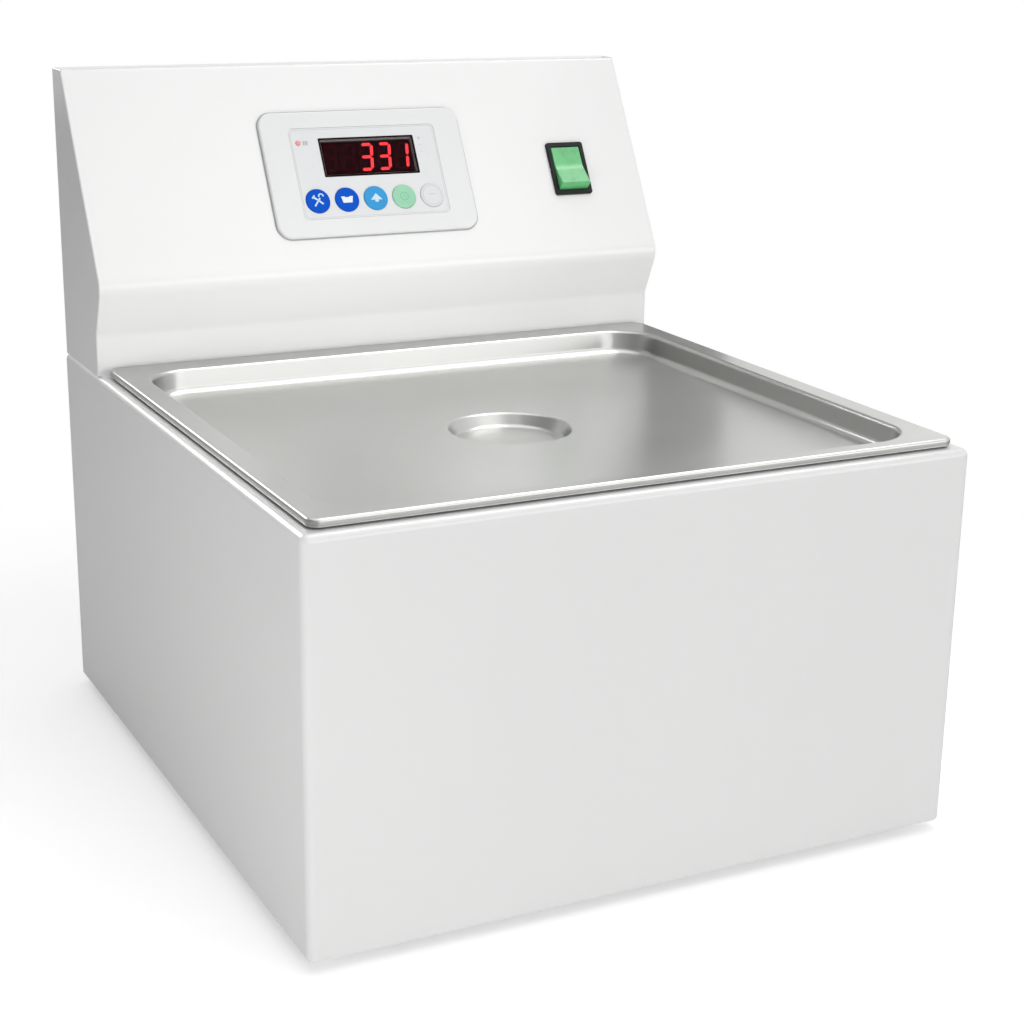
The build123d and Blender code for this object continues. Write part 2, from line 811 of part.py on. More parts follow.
# Temperature probe with its own collar in the wall
probe_wall = Plane(origin=(probe_x, probe_wall_y, probe_z), x_dir=(-1, 0, 0), z_dir=(0, 1, 0))
probe_lean = gland_width / 2 * draft_slope + fit_gap
with BuildPart() as temperature_probe:
    with BuildSketch(probe_wall.offset(probe_tail)):
        Circle(probe_width / 2)
    extrude(amount=-probe_tail - probe_length)
    fillet(temperature_probe.edges().sort_by(Axis.Y)[0], probe_width / 3)
    with BuildSketch(probe_wall.offset(probe_lean)):
        RegularPolygon(gland_width / 2, 6, major_radius=False)
    extrude(amount=gland_hex_height)
    with BuildSketch(probe_wall.offset(-tank_sheet)):
        Circle(probe_width / 2 + tank_sheet)
    extrude(amount=tank_sheet + probe_lean)
temperature_probe.part.label = "temperature_probe"
export_step(temperature_probe.part, "parts/temperature_probe.step")

# Bimetal cut-out, pressed on the tank's wall between the heater's legs
cutout_face = Plane(origin=(0, heater_wall_y + gland_lean, heater_z), x_dir=(-1, 0, 0), z_dir=(0, 1, 0))
with BuildPart() as overheat_cutout:
    with BuildSketch(cutout_face):
        Circle(cutout_flange_width / 2)
    extrude(amount=cutout_flange_height)
    with BuildSketch(cutout_face):
        Circle(cutout_width / 2)
    extrude(amount=cutout_flange_height + cutout_height)
    with BuildSketch(cutout_face.offset(cutout_flange_height + cutout_height)):
        with Locations((-cutout_width / 4, 0), (cutout_width / 4, 0)):
            Rectangle(blade_sheet, blade_width)
    extrude(amount=blade_reach)
overheat_cutout.part.label = "overheat_cutout"
export_step(overheat_cutout.part, "parts/overheat_cutout.step")

# Perforated shelf that stands on the tank's floor over the heater
tray_level = tank_floor + tray_rise
tray_width = mouth_width - 2 * tray_side_clearance
tray_depth = mouth_depth - 2 * tray_end_clearance
tray_columns = 1 + int((tray_width - 2 * tray_border) // tray_hole_pitch)
tray_rows = 1 + int((tray_depth - 2 * tray_border) // tray_hole_pitch)
with BuildPart() as perforated_shelf:
    with BuildSketch(Plane.XY.offset(tray_level)):
        with Locations((0, lid_mid_y)):
            RectangleRounded(tray_width, tray_depth, tray_corner)
            with GridLocations(tray_hole_pitch, tray_hole_pitch, tray_columns, tray_rows):
                Circle(tray_hole / 2, mode=Mode.SUBTRACT)
    extrude(amount=tray_sheet)
    for side in (-1, 1):
        leg_x = side * (tray_width - tray_sheet) / 2
        with Locations((leg_x, lid_mid_y, tank_floor + (tray_rise + tray_sheet) / 2)):
            Box(tray_sheet, tray_leg_length, tray_rise + tray_sheet)
perforated_shelf.part.label = "perforated_shelf"
export_step(perforated_shelf.part, "parts/perforated_shelf.step")

# Lid: a flat rim with a turned-down edge, a sunken dish and a finger cup in its middle
with BuildPart() as rim_space:
    with BuildSketch(Plane.XY.offset(lid_seat - overrun)):
        with Locations((0, lid_mid_y)):
            RectangleRounded(lid_width - 2 * lid_sheet, lid_depth - 2 * lid_sheet, lid_corner - lid_sheet)
    extrude(amount=overrun + lid_skirt - lid_sheet)
    fillet(rim_space.faces().sort_by(Axis.Z)[-1].edges(), lid_edge - lid_sheet)

with BuildPart() as dish_space:
    with BuildSketch(Plane.XY.offset(lid_top)):
        with Locations((0, dish_mid_y)):
            RectangleRounded(dish_width, dish_length, dish_corner)
    extrude(amount=-dish_depth, taper=dish_draft)
    fillet(dish_space.faces().sort_by(Axis.Z)[0].edges(), dish_floor_radius)

cup_level = lid_top - dish_depth
with BuildPart() as cup_space:
    with BuildSketch(Plane.XY.offset(cup_level)):
        with Locations((0, dish_mid_y)):
            Circle(cup_width / 2)
    extrude(amount=-cup_depth, taper=cup_draft)
    fillet(cup_space.edges().group_by(Axis.Z)[0], cup_floor_radius)

with BuildPart() as lid:
    with BuildSketch(Plane.XY.offset(lid_seat)):
        with Locations((0, lid_mid_y)):
            RectangleRounded(lid_width, lid_depth, lid_corner)
    extrude(amount=lid_skirt)
    fillet(lid.faces().sort_by(Axis.Z)[-1].edges(), lid_edge)
    add(rim_space.part, mode=Mode.SUBTRACT)
    with BuildSketch(Plane.XY.offset(lid_top)):
        with Locations((0, dish_mid_y)):
            RectangleRounded(dish_width + 2 * lid_sheet, dish_length + 2 * lid_sheet, dish_corner + lid_sheet)
    extrude(amount=-dish_depth - lid_sheet, taper=dish_draft)
    fillet(lid.faces().sort_by(Axis.Z)[0].edges(), dish_floor_radius + lid_sheet)
    under_rim = lid.faces().filter_by(Axis.Z).filter_by(lambda face: len(face.inner_wires()) == 1)
    fillet(under_rim.sort_by(Axis.Z)[-1].inner_wires()[0].edges(), dish_mouth_radius - lid_sheet)
    add(dish_space.part, mode=Mode.SUBTRACT)
    rim_top = lid.faces().filter_by(Axis.Z).sort_by(Axis.Z)[-1]
    fillet(rim_top.inner_wires()[0].edges(), dish_mouth_radius)
    with BuildSketch(Plane.XY.offset(cup_level)):
        with Locations((0, dish_mid_y)):
            Circle(cup_width / 2 + lid_sheet)
    extrude(amount=-cup_depth - lid_sheet, taper=cup_draft)
    fillet(lid.edges().group_by(Axis.Z)[0], cup_floor_radius + lid_sheet)
    holed = lid.faces().filter_by(Axis.Z).filter_by(lambda face: len(face.inner_wires()) == 1)
    fillet(holed.sort_by(Axis.Z)[0].inner_wires()[0].edges(), cup_lip_radius - lid_sheet)
    add(cup_space.part, mode=Mode.SUBTRACT)
    holed = lid.faces().filter_by(Axis.Z).filter_by(lambda face: len(face.inner_wires()) == 1)
    fillet(holed.sort_by(Axis.Z)[1].inner_wires()[0].edges(), cup_lip_radius)
lid.part.label = "lid"
export_step(lid.part, "parts/lid.step")

# Console: one bent and welded steel box, open behind, on the casing's top
console_width = casing_width - 2 * console_inset
with BuildSketch(Plane.YZ) as console_outline:
    with BuildLine():
        Polyline(
            (foot_panel_y, casing_top),
            (foot_panel_y, crease_z),
            (knee_y, knee_z),
            (brow_y, console_top),
            (rear_y, console_top),
            (rear_y, casing_top),
            close=True,
        )
    make_face()
    fillet(console_outline.vertices().sort_by_distance((knee_y, knee_z))[0], knee_radius)
    fillet(console_outline.vertices().sort_by_distance((foot_panel_y, crease_z))[0], crease_radius)
    fillet(console_outline.vertices().sort_by_distance((brow_y, console_top))[0], brow_radius)

with BuildPart() as console_space:
    with BuildSketch(Plane.YZ.offset(-console_width / 2 + sheet)):
        offset(console_outline.sketch_local, amount=-sheet, kind=Kind.INTERSECTION)
    extrude(amount=console_width - 2 * sheet)

with BuildPart() as console_shell:
    with BuildSketch(Plane.YZ.offset(-console_width / 2)):
        add(console_outline.sketch_local)
    extrude(amount=console_width)
    side_edges = console_shell.faces().filter_by(Axis.X).edges()
    front_edges = side_edges.filter_by(lambda edge: edge.center().Y < rear_y - sheet)
    fillet(front_edges.filter_by(lambda edge: edge.center().Z > casing_top + sheet), console_edge)
    add(console_space.part, mode=Mode.SUBTRACT)
    with BuildSketch(rear_flat.offset(overrun)):
        with Locations((0, (casing_top + console_top) / 2)):
            Rectangle(console_width - 2 * console_flange, console_height - 2 * console_flange)
        with Locations(*cover_screw_places):
            Circle(screw_hole)
    extrude(amount=-sheet - 2 * overrun, mode=Mode.SUBTRACT)
    with BuildSketch(Plane.XY.offset(casing_top - overrun)):
        with Locations((0, console_mid_y)):
            Rectangle(console_width - 2 * console_flange, console_foot_depth - 2 * console_flange)
        with Locations(*hold_screw_places):
            Circle(screw_hole)
    extrude(amount=sheet + 2 * overrun, mode=Mode.SUBTRACT)
    with BuildSketch(controller_face.offset(overrun)):
        Rectangle(housing_width + 2 * housing_gap, housing_height + 2 * housing_gap)
    extrude(amount=-sheet - 2 * overrun, mode=Mode.SUBTRACT)
    with BuildSketch(switch_face.offset(overrun)):
        Rectangle(switch_body_width + 2 * housing_gap, switch_body_height + 2 * housing_gap)
    extrude(amount=-sheet - 2 * overrun, mode=Mode.SUBTRACT)
console_shell.part.label = "console_shell"
export_step(console_shell.part, "parts/console_shell.step")

# Rear cover of the console
cover_mid_z = (casing_top + console_top) / 2
with BuildPart() as console_rear_cover:
    with BuildSketch(rear_flat):
        with Locations((0, cover_mid_z)):
            RectangleRounded(console_width - 2 * base_step, console_height - 2 * base_step, rear_step)
            with GridLocations(vent_column_pitch, vent_pitch, vent_columns, vent_rows):
                SlotOverall(vent_length, vent_width, mode=Mode.SUBTRACT)
        with Locations(*cover_screw_places):
            Circle(screw_hole, mode=Mode.SUBTRACT)
    extrude(amount=rear_sheet)
console_rear_cover.part.label = "console_rear_cover"
export_step(console_rear_cover.part, "parts/console_rear_cover.step")

# The screws that hold the console down, from inside it, and its cover on
hold_row = pan_screws(Plane.XY.offset(casing_top + sheet), hold_screw_places, screw_reach)
cover_row = pan_screws(rear_outside, cover_screw_places, screw_reach)
with BuildPart() as console_screws:
    add(hold_row.part)
    add(cover_row.part)
console_screws.part.label = "console_screws"
export_step(console_screws.part, "parts/console_screws.step")

# Controller frame: a white plate with a pocket for the overlay and openings for what shows
overlay_floor = frame_thickness - overlay_recess
window_floor = frame_thickness - window_thickness
window_place = (window_x, window_rise)
lamp_place = (lamp_x, lamp_rise)
with BuildPart() as controller_frame:
    with BuildSketch(controller_face):
        RectangleRounded(frame_width, frame_height, frame_corner)
    extrude(amount=frame_thickness)
    fillet(controller_frame.faces().sort_by(Axis(panel.origin, panel.z_dir))[-1].edges(), frame_edge)
    with BuildSketch(controller_face.offset(overlay_floor)):
        RectangleRounded(overlay_width + 2 * key_gap, overlay_height + 2 * key_gap, overlay_corner)
    extrude(amount=overlay_recess, mode=Mode.SUBTRACT)
    with BuildSketch(controller_face.offset(window_floor)):
        with Locations(window_place):
            Rectangle(window_width + 2 * key_gap, window_height + 2 * key_gap)
    extrude(amount=window_thickness, mode=Mode.SUBTRACT)
    with BuildSketch(controller_face):
        with Locations(window_place):
            Rectangle(window_width - 2 * window_lip, window_height - 2 * window_lip)
        with Locations(*key_places):
            Circle(key_flange_width / 2 + key_gap)
        with Locations(lamp_place):
            Circle(lamp_width / 2 + key_gap)
    extrude(amount=frame_thickness, mode=Mode.SUBTRACT)
controller_frame.part.label = "controller_frame"
export_step(controller_frame.part, "parts/controller_frame.step")

# Printed overlay that holds the keys in
with BuildPart() as controller_overlay:
    with BuildSketch(controller_face.offset(overlay_floor)):
        RectangleRounded(overlay_width, overlay_height, overlay_corner)
        with Locations(window_place):
            Rectangle(window_width + 2 * key_gap, window_height + 2 * key_gap, mode=Mode.SUBTRACT)
        with Locations(*key_places):
            Circle(key_width / 2 + key_gap, mode=Mode.SUBTRACT)
        with Locations(lamp_place):
            Circle(lamp_width / 2 + key_gap, mode=Mode.SUBTRACT)
    extrude(amount=overlay_thickness)
controller_overlay.part.label = "controller_overlay"
export_step(controller_overlay.part, "parts/controller_overlay.step")

with BuildPart() as display_window:
    with BuildSketch(controller_face.offset(window_floor)):
        with Locations(window_place):
            Rectangle(window_width, window_height)
    extrude(amount=window_thickness)
display_window.part.label = "display_window"
export_step(display_window.part, "parts/display_window.step")

# Board levels, measured from the panel's outer face inwards
board_top = -board_depth + board_thickness
module_top = window_floor - module_gap
module_width = window_width - 2 * window_lip - 2 * module_inset
module_height = window_height - 2 * window_lip - 2 * module_inset
overlay_top = overlay_floor + overlay_thickness
key_flange_top = overlay_floor - key_gap
tact_top = -key_stem_reach - tact_gap

with BuildPart() as display_module:
    with BuildSketch(controller_face.offset(board_top)):
        with Locations(window_place):
            Rectangle(module_width, module_height)
    extrude(amount=module_top - segment_proud - board_top)
display_module.part.label = "display_module"
export_step(display_module.part, "parts/display_module.step")

# Seven-segment digits: each bar is a thin raised hexagon on the module's face
half_bar = segment_width / 2
upright = (digit_height - segment_width) / 4
arm_x = (digit_width - segment_width) / 2
flat_length = digit_width - segment_width - 2 * segment_gap
tall_length = (digit_height - segment_width) / 2 - 2 * segment_gap
segment_places = {
    "a": (0, 2 * upright, 0),
    "b": (arm_x, upright, 1),
    "c": (arm_x, -upright, 1),
    "d": (0, -2 * upright, 0),
    "e": (-arm_x, -upright, 1),
    "f": (-arm_x, upright, 1),
    "g": (0, 0, 0),
}
slant = tan(radians(digit_slant))


def bar_points(centre_x, centre_y, standing):
    """Corner points of one bar of a digit, leaned with the digit."""
    length = tall_length if standing else flat_length
    reach = length / 2
    shoulder = reach - half_bar
    along = [(-reach, 0), (-shoulder, half_bar), (shoulder, half_bar)]
    along += [(reach, 0), (shoulder, -half_bar), (-shoulder, -half_bar)]
    points = [(y, x) for x, y in along] if standing else along
    return [(centre_x + x + slant * (centre_y + y), centre_y + y) for x, y in points]


def digit_bars(lit):
    """The bars that are lit, or those that are not, of every digit."""
    with BuildPart() as bars:
        with BuildSketch(controller_face.offset(module_top - segment_proud)):
            for digit in range(digit_count):
                centre = window_x + (digit - (digit_count - 1) / 2) * digit_pitch
                for letter, (x, y, standing) in segment_places.items():
                    if (letter in lit_digits.get(digit, "")) == lit:
                        points = bar_points(x, y, standing)
                        with BuildLine():
                            Polyline(*[(centre + px, window_rise + py) for px, py in points], close=True)
                        make_face()
        extrude(amount=segment_proud)
    return bars


lit_segments = digit_bars(True)
lit_segments.part.label = "lit_segments"
export_step(lit_segments.part, "parts/lit_segments.step")

dark_segments = digit_bars(False)
dark_segments.part.label = "dark_segments"
export_step(dark_segments.part, "parts/dark_segments.step")

with BuildPart() as status_lamp:
    with BuildSketch(controller_face.offset(board_top)):
        with Locations(lamp_place):
            Circle(lamp_width / 2)
    extrude(amount=overlay_top + lamp_proud - board_top)
    fillet(status_lamp.edges().group_by(Axis(panel.origin, panel.z_dir))[-1], lamp_proud)
status_lamp.part.label = "status_lamp"
export_step(status_lamp.part, "parts/status_lamp.step")

# Five keys: a cap that stands through the overlay, a flange under it and a stem
for key_name, key_place in zip(key_names, key_places):
    with BuildPart() as key:
        with BuildSketch(controller_face.offset(key_flange_top - key_flange_thickness)):
            with Locations(key_place):
                Circle(key_flange_width / 2)
        extrude(amount=key_flange_thickness)
        with BuildSketch(controller_face.offset(key_flange_top)):
            with Locations(key_place):
                Circle(key_width / 2)
        extrude(amount=overlay_top + key_proud - key_flange_top)
        fillet(key.edges().group_by(Axis(panel.origin, panel.z_dir))[-1], key_edge)
        with BuildSketch(controller_face.offset(key_flange_top - key_flange_thickness)):
            with Locations(key_place):
                Circle(key_stem / 2)
        extrude(amount=-key_stem_reach - key_flange_top + key_flange_thickness)
    key.part.label = key_name
    export_step(key.part, "parts/" + key_name + ".step")

# Controller housing behind the panel: a box open to the frame
with BuildPart() as controller_housing:
    with BuildSketch(controller_face):
        Rectangle(housing_width, housing_height)
    extrude(amount=-housing_depth)
    with BuildSketch(controller_face):
        Rectangle(housing_width - 2 * housing_wall, housing_height - 2 * housing_wall)
    extrude(amount=-housing_depth + housing_wall, mode=Mode.SUBTRACT)
controller_housing.part.label = "controller_housing"
export_step(controller_housing.part, "parts/controller_housing.step")

board_edge = housing_wall + key_gap
with BuildPart() as controller_board:
    with BuildSketch(controller_face.offset(-board_depth)):
        Rectangle(housing_width - 2 * board_edge, housing_height - 2 * board_edge)
    extrude(amount=board_thickness)
controller_board.part.label = "controller_board"
export_step(controller_board.part, "parts/controller_board.step")

with BuildPart() as key_switches:
    with BuildSketch(controller_face.offset(board_top)):
        with Locations(*key_places):
            Rectangle(tact_width, tact_width)
    extrude(amount=tact_rise)
    with BuildSketch(controller_face.offset(board_top)):
        with Locations(*key_places):
            Circle(tact_plunger / 2)
    extrude(amount=tact_top - board_top)
key_switches.part.label = "key_switches"
export_step(key_switches.part, "parts/key_switches.step")

# Two clamps that pull the frame back against the console's inner face
with BuildPart() as panel_clamps:
    for side in (-1, 1):
        clamp_x = side * (housing_width + clamp_width) / 2
        with BuildSketch(controller_face.offset(-sheet)):
            with Locations((clamp_x, 0)):
                Rectangle(clamp_width, clamp_height)
        extrude(amount=-clamp_depth)
        with BuildSketch(controller_face.offset(-sheet)):
            with Locations((clamp_x + side * clamp_nose / 2, 0)):
                Rectangle(clamp_width - clamp_nose, clamp_height)
        extrude(amount=-clamp_depth + clamp_nose, mode=Mode.SUBTRACT)
panel_clamps.part.label = "panel_clamps"
export_step(panel_clamps.part, "parts/panel_clamps.step")

# Switch housing: a bezel outside the panel and a body with a well for the rocker
panel_out = Axis(panel.origin, panel.z_dir)
well_width = rocker_width + 2 * rocker_gap
well_height = 2 * (rocker_sweep_radius + rocker_gap)
rocker_pivot = switch_face.from_local_coords(Vector(0, 0, -rocker_axis_depth))
pin_plane = Plane(origin=rocker_pivot, x_dir=panel.y_dir, z_dir=(1, 0, 0))
with BuildPart() as switch_housing:
    with BuildSketch(switch_face):
        RectangleRounded(switch_width, switch_height, switch_corner)
    extrude(amount=switch_bezel)
    fillet(switch_housing.edges().group_by(panel_out)[-1], rocker_edge)
    with BuildSketch(switch_face):
        Rectangle(switch_body_width, switch_body_height)
    extrude(amount=-switch_body_depth)
    with BuildSketch(switch_face.offset(switch_bezel)):
        Rectangle(well_width, well_height)
    extrude(amount=-switch_bezel - switch_well_depth, mode=Mode.SUBTRACT)
    with BuildSketch(pin_plane):
        Circle(rocker_pin / 2 + pin_gap)
    extrude(amount=switch_body_width / 2 + overrun, both=True, mode=Mode.SUBTRACT)
switch_housing.part.label = "switch_housing"
export_step(switch_housing.part, "parts/switch_housing.step")

with BuildPart() as rocker_pivot_pin:
    with BuildSketch(pin_plane):
        Circle(rocker_pin / 2)
    extrude(amount=switch_body_width / 2, both=True)
rocker_pivot_pin.part.label = "rocker_pivot_pin"
export_step(rocker_pivot_pin.part, "parts/rocker_pivot_pin.step")

with BuildPart() as switch_blades:
    with BuildSketch(switch_face.offset(-switch_body_depth)):
        with GridLocations(switch_body_width / 2, switch_body_height / 2, 2, 2):
            Rectangle(blade_width, blade_sheet)
    extrude(amount=-blade_reach)
switch_blades.part.label = "switch_blades"
export_step(switch_blades.part, "parts/switch_blades.step")

# Rocker, switched on: its top is pressed in and its foot stands out of the bezel.
# Its ends follow one circle round the pin, so they clear the well at every tilt.
tilt = radians(rocker_tilt)
rocker_along = panel.y_dir * cos(tilt) - panel.z_dir * sin(tilt)
rocker_plane = Plane(origin=rocker_pivot, x_dir=rocker_along, z_dir=(1, 0, 0))
tip_reach = (rocker_sweep_radius**2 - rocker_tip_rise**2) ** 0.5
belly_reach = (rocker_sweep_radius**2 - rocker_belly**2) ** 0.5
foot_tip = (-tip_reach, rocker_tip_rise)
top_tip = (tip_reach, rocker_tip_rise)


def above_crown(edge):
    """Whether an edge of the rocker lies on its face."""
    return (edge.center() - rocker_pivot).dot(rocker_plane.y_dir) > rocker_crown


with BuildPart() as power_rocker:
    with BuildSketch(rocker_plane) as rocker_profile:
        with BuildLine():
            Polyline(foot_tip, (0, rocker_crown), top_tip)
            ThreePointArc(top_tip, (rocker_sweep_radius, 0), (belly_reach, -rocker_belly))
            Line((belly_reach, -rocker_belly), (-belly_reach, -rocker_belly))
            ThreePointArc((-belly_reach, -rocker_belly), (-rocker_sweep_radius, 0), foot_tip)
        make_face()
        fillet(rocker_profile.vertices().sort_by_distance((0, rocker_crown))[0], rocker_sweep_radius)
        Circle(rocker_pin / 2 + pin_gap, mode=Mode.SUBTRACT)
    extrude(amount=rocker_width / 2, both=True)
    rocker_sides = power_rocker.faces().filter_by(Axis.X).edges()
    fillet(rocker_sides.filter_by(above_crown), rocker_edge)
power_rocker.part.label = "power_rocker"
export_step(power_rocker.part, "parts/power_rocker.step")

# Mains inlet: flange outside the rear panel, body behind it, open socket and drawer slot
socket_mouth = inlet_face.offset(inlet_flange)
socket_half = socket_width / 2
socket_half_tall = socket_tall / 2
socket_floor = inlet_flange - socket_depth
pin_places = [
    (0, earth_pin_rise - socket_drop),
    (-live_pin_spread / 2, -live_pin_drop - socket_drop),
    (live_pin_spread / 2, -live_pin_drop - socket_drop),
]
slot_length = drawer_length + drawer_gap
with BuildPart() as inlet_socket:
    with BuildSketch(inlet_face):
        RectangleRounded(inlet_width, inlet_tall, inlet_corner)
    extrude(amount=inlet_flange)
    fillet(inlet_socket.faces().sort_by(Axis.Y)[-1].edges(), inlet_flange / 3)
    with BuildSketch(inlet_face):
        Rectangle(inlet_body_width, inlet_body_tall)
    extrude(amount=-inlet_body_depth)
    with BuildSketch(socket_mouth):
        with Locations((0, -socket_drop)):
            Polygon(
                (-socket_half, -socket_half_tall),
                (socket_half, -socket_half_tall),
                (socket_half, socket_half_tall - socket_bevel),
                (socket_half - socket_bevel, socket_half_tall),
                (socket_bevel - socket_half, socket_half_tall),
                (-socket_half, socket_half_tall - socket_bevel),
                align=None,
            )
    extrude(amount=-socket_depth, mode=Mode.SUBTRACT)
    with BuildSketch(socket_mouth):
        with Locations((0, drawer_rise)):
            Rectangle(drawer_width + 2 * drawer_gap, drawer_tall + 2 * drawer_gap)
    extrude(amount=-slot_length, mode=Mode.SUBTRACT)
    with BuildSketch(inlet_face.offset(-inlet_body_depth)):
        with Locations(*pin_places):
            Rectangle(pin_sheet, pin_width)
    extrude(amount=inlet_body_depth, mode=Mode.SUBTRACT)
    with BuildSketch(socket_mouth):
        with Locations((-inlet_screw_spread / 2, 0), (inlet_screw_spread / 2, 0)):
            Circle(screw_hole)
    extrude(amount=-inlet_flange, mode=Mode.SUBTRACT)
    with BuildSketch(socket_mouth):
        with Locations((-inlet_screw_spread / 2, 0), (inlet_screw_spread / 2, 0)):
            Circle(screw_width * head_width_share / 2 + screw_hole_gap)
    extrude(amount=-screw_width * head_rise_share, mode=Mode.SUBTRACT)
inlet_socket.part.label = "inlet_socket"
export_step(inlet_socket.part, "parts/inlet_socket.step")

with BuildPart() as inlet_pins:
    with BuildSketch(inlet_face.offset(socket_floor + pin_proud)):
        with Locations(*pin_places):
            Rectangle(pin_sheet, pin_width)
    extrude(amount=-socket_floor - pin_proud - inlet_body_depth - blade_reach)
    fillet(inlet_pins.edges().group_by(Axis.Y)[-1], pin_sheet / 4)
inlet_pins.part.label = "inlet_pins"
export_step(inlet_pins.part, "parts/inlet_pins.step")

# Fuse drawer: a face flush with the flange and a tray for two fuses behind it
pocket_depth = 2 * fuse_pitch
pocket_front = inlet_flange - drawer_face - drawer_wall
with BuildPart() as fuse_drawer:
    with BuildSketch(socket_mouth):
        with Locations((0, drawer_rise)):
            Rectangle(drawer_width, drawer_tall)
    extrude(amount=-drawer_length)
    with Locations(inlet_face):
        with Locations((0, drawer_rise + drawer_wall, pocket_front - pocket_depth / 2)):
            Box(fuse_length + 2 * drawer_gap, drawer_tall, pocket_depth, mode=Mode.SUBTRACT)
        with Locations((0, drawer_rise, inlet_flange)):
            Box(drawer_grip_width, drawer_grip_tall, 2 * drawer_grip_depth, mode=Mode.SUBTRACT)
fuse_drawer.part.label = "fuse_drawer"
export_step(fuse_drawer.part, "parts/fuse_drawer.step")

fuse_rise = drawer_rise - drawer_tall / 2 + drawer_wall + fuse_width / 2
with BuildPart() as fuses:
    for rank in (0, 1):
        fuse_y = pocket_front - (rank + 1 / 2) * fuse_pitch
        fuse_centre = inlet_face.from_local_coords(Vector(0, fuse_rise, fuse_y))
        fuse_plane = Plane(origin=fuse_centre, x_dir=(0, 1, 0), z_dir=(1, 0, 0))
        with BuildSketch(fuse_plane):
            Circle(fuse_glass_width / 2)
        extrude(amount=fuse_length / 2, both=True)
        for side in (-1, 1):
            with BuildSketch(fuse_plane.offset(side * (fuse_length - fuse_cap) / 2)):
                Circle(fuse_width / 2)
            extrude(amount=fuse_cap / 2, both=True)
fuses.part.label = "fuses"
export_step(fuses.part, "parts/fuses.step")

# Heat sink, with its fins on the rear panel, and the relay on its flat side
sink_z = base_bottom + sink_height
fin_pitch = (sink_width - 2 * sink_edge) / (sink_fin_count + 1)
with BuildPart() as heat_sink:
    with BuildSketch(rear_flat):
        with Locations((-sink_x, sink_z)):
            with GridLocations(fin_pitch, sink_tall, sink_fin_count, 1):
                Rectangle(sink_fin, sink_tall)
            with GridLocations(sink_width - sink_edge, sink_tall, 2, 1):
                Rectangle(sink_edge, sink_tall)
    extrude(amount=-sink_fin_reach)
    with BuildSketch(rear_flat.offset(-sink_fin_reach)):
        with Locations((-sink_x, sink_z)):
            Rectangle(sink_width, sink_tall)
    extrude(amount=-sink_base)
    with BuildSketch(rear_flat):
        with Locations(*sink_screw_places):
            Circle(screw_hole)
    extrude(amount=-screw_reach - rear_sheet, mode=Mode.SUBTRACT)
heat_sink.part.label = "heat_sink"
export_step(heat_sink.part, "parts/heat_sink.step")

# The screws that hold the inlet and the heat sink
inlet_row = pan_screws(
    inlet_face.offset(inlet_flange - screw_width * head_rise_share),
    [(-inlet_screw_spread / 2, 0), (inlet_screw_spread / 2, 0)],
    screw_reach,
)
sink_row = pan_screws(rear_outside, sink_screw_places, screw_reach)
with BuildPart() as fitting_screws:
    add(inlet_row.part)
    add(sink_row.part)
fitting_screws.part.label = "fitting_screws"
export_step(fitting_screws.part, "parts/fitting_screws.step")

relay_face = rear_flat.offset(-sink_fin_reach - sink_base)
relay_front = relay_face.offset(-relay_depth)
relay_end = (relay_tall - relay_notch) / 2
with BuildPart() as relay:
    with BuildSketch(relay_face):
        with Locations((-sink_x, sink_z)):
            Rectangle(relay_width, relay_tall)
    extrude(amount=-relay_depth)
    with BuildSketch(relay_front):
        with Locations((-sink_x, sink_z - relay_end), (-sink_x, sink_z + relay_end)):
            Rectangle(relay_width, relay_notch)
    extrude(amount=relay_notch_depth, mode=Mode.SUBTRACT)
relay.part.label = "relay"
export_step(relay.part, "parts/relay.step")

with BuildPart() as relay_terminals:
    with BuildSketch(relay_front.offset(relay_notch_depth)):
        with Locations((-sink_x, sink_z)):
            with GridLocations(relay_width / 2, relay_tall - relay_notch, 2, 2):
                Circle(relay_screw_width / 2)
    extrude(amount=-relay_screw_rise)
relay_terminals.part.label = "relay_terminals"
export_step(relay_terminals.part, "parts/relay_terminals.step")

# Terminal block on the base plate
block_y = rear_y - block_rear_gap
block_pitch = (block_width - block_wall) / block_poles
block_top = casing_bottom + block_height
with BuildPart() as terminal_block:
    with BuildSketch(Plane.XY.offset(casing_bottom)):
        with Locations((block_x, block_y)):
            Rectangle(block_width, block_depth)
    extrude(amount=block_height)
    with BuildSketch(Plane.XY.offset(block_top)):
        with Locations((block_x, block_y)):
            with GridLocations(block_pitch, block_depth, block_poles, 1):
                Rectangle(block_pitch - block_wall, block_depth - 2 * block_wall)
    extrude(amount=-block_slot_depth, mode=Mode.SUBTRACT)
terminal_block.part.label = "terminal_block"
export_step(terminal_block.part, "parts/terminal_block.step")

with BuildPart() as block_terminals:
    with BuildSketch(Plane.XY.offset(block_top - block_slot_depth)):
        with Locations((block_x, block_y)):
            with GridLocations(block_pitch, block_depth / 2, block_poles, 2):
                Circle(block_screw_width / 2)
    extrude(amount=block_slot_depth / 2)
block_terminals.part.label = "block_terminals"
export_step(block_terminals.part, "parts/block_terminals.step")

# Earth stud, welded to the rear panel's inside
with BuildPart() as earth_stud:
    with BuildSketch(rear_flat):
        with Locations((-earth_stud_x, base_bottom + earth_stud_height)):
            Circle(earth_head_width / 2)
    extrude(amount=-earth_head_height)
    with BuildSketch(rear_flat):
        with Locations((-earth_stud_x, base_bottom + earth_stud_height)):
            Circle(earth_stud_width / 2)
    extrude(amount=-earth_stud_reach)
earth_stud.part.label = "earth_stud"
export_step(earth_stud.part, "parts/earth_stud.step")

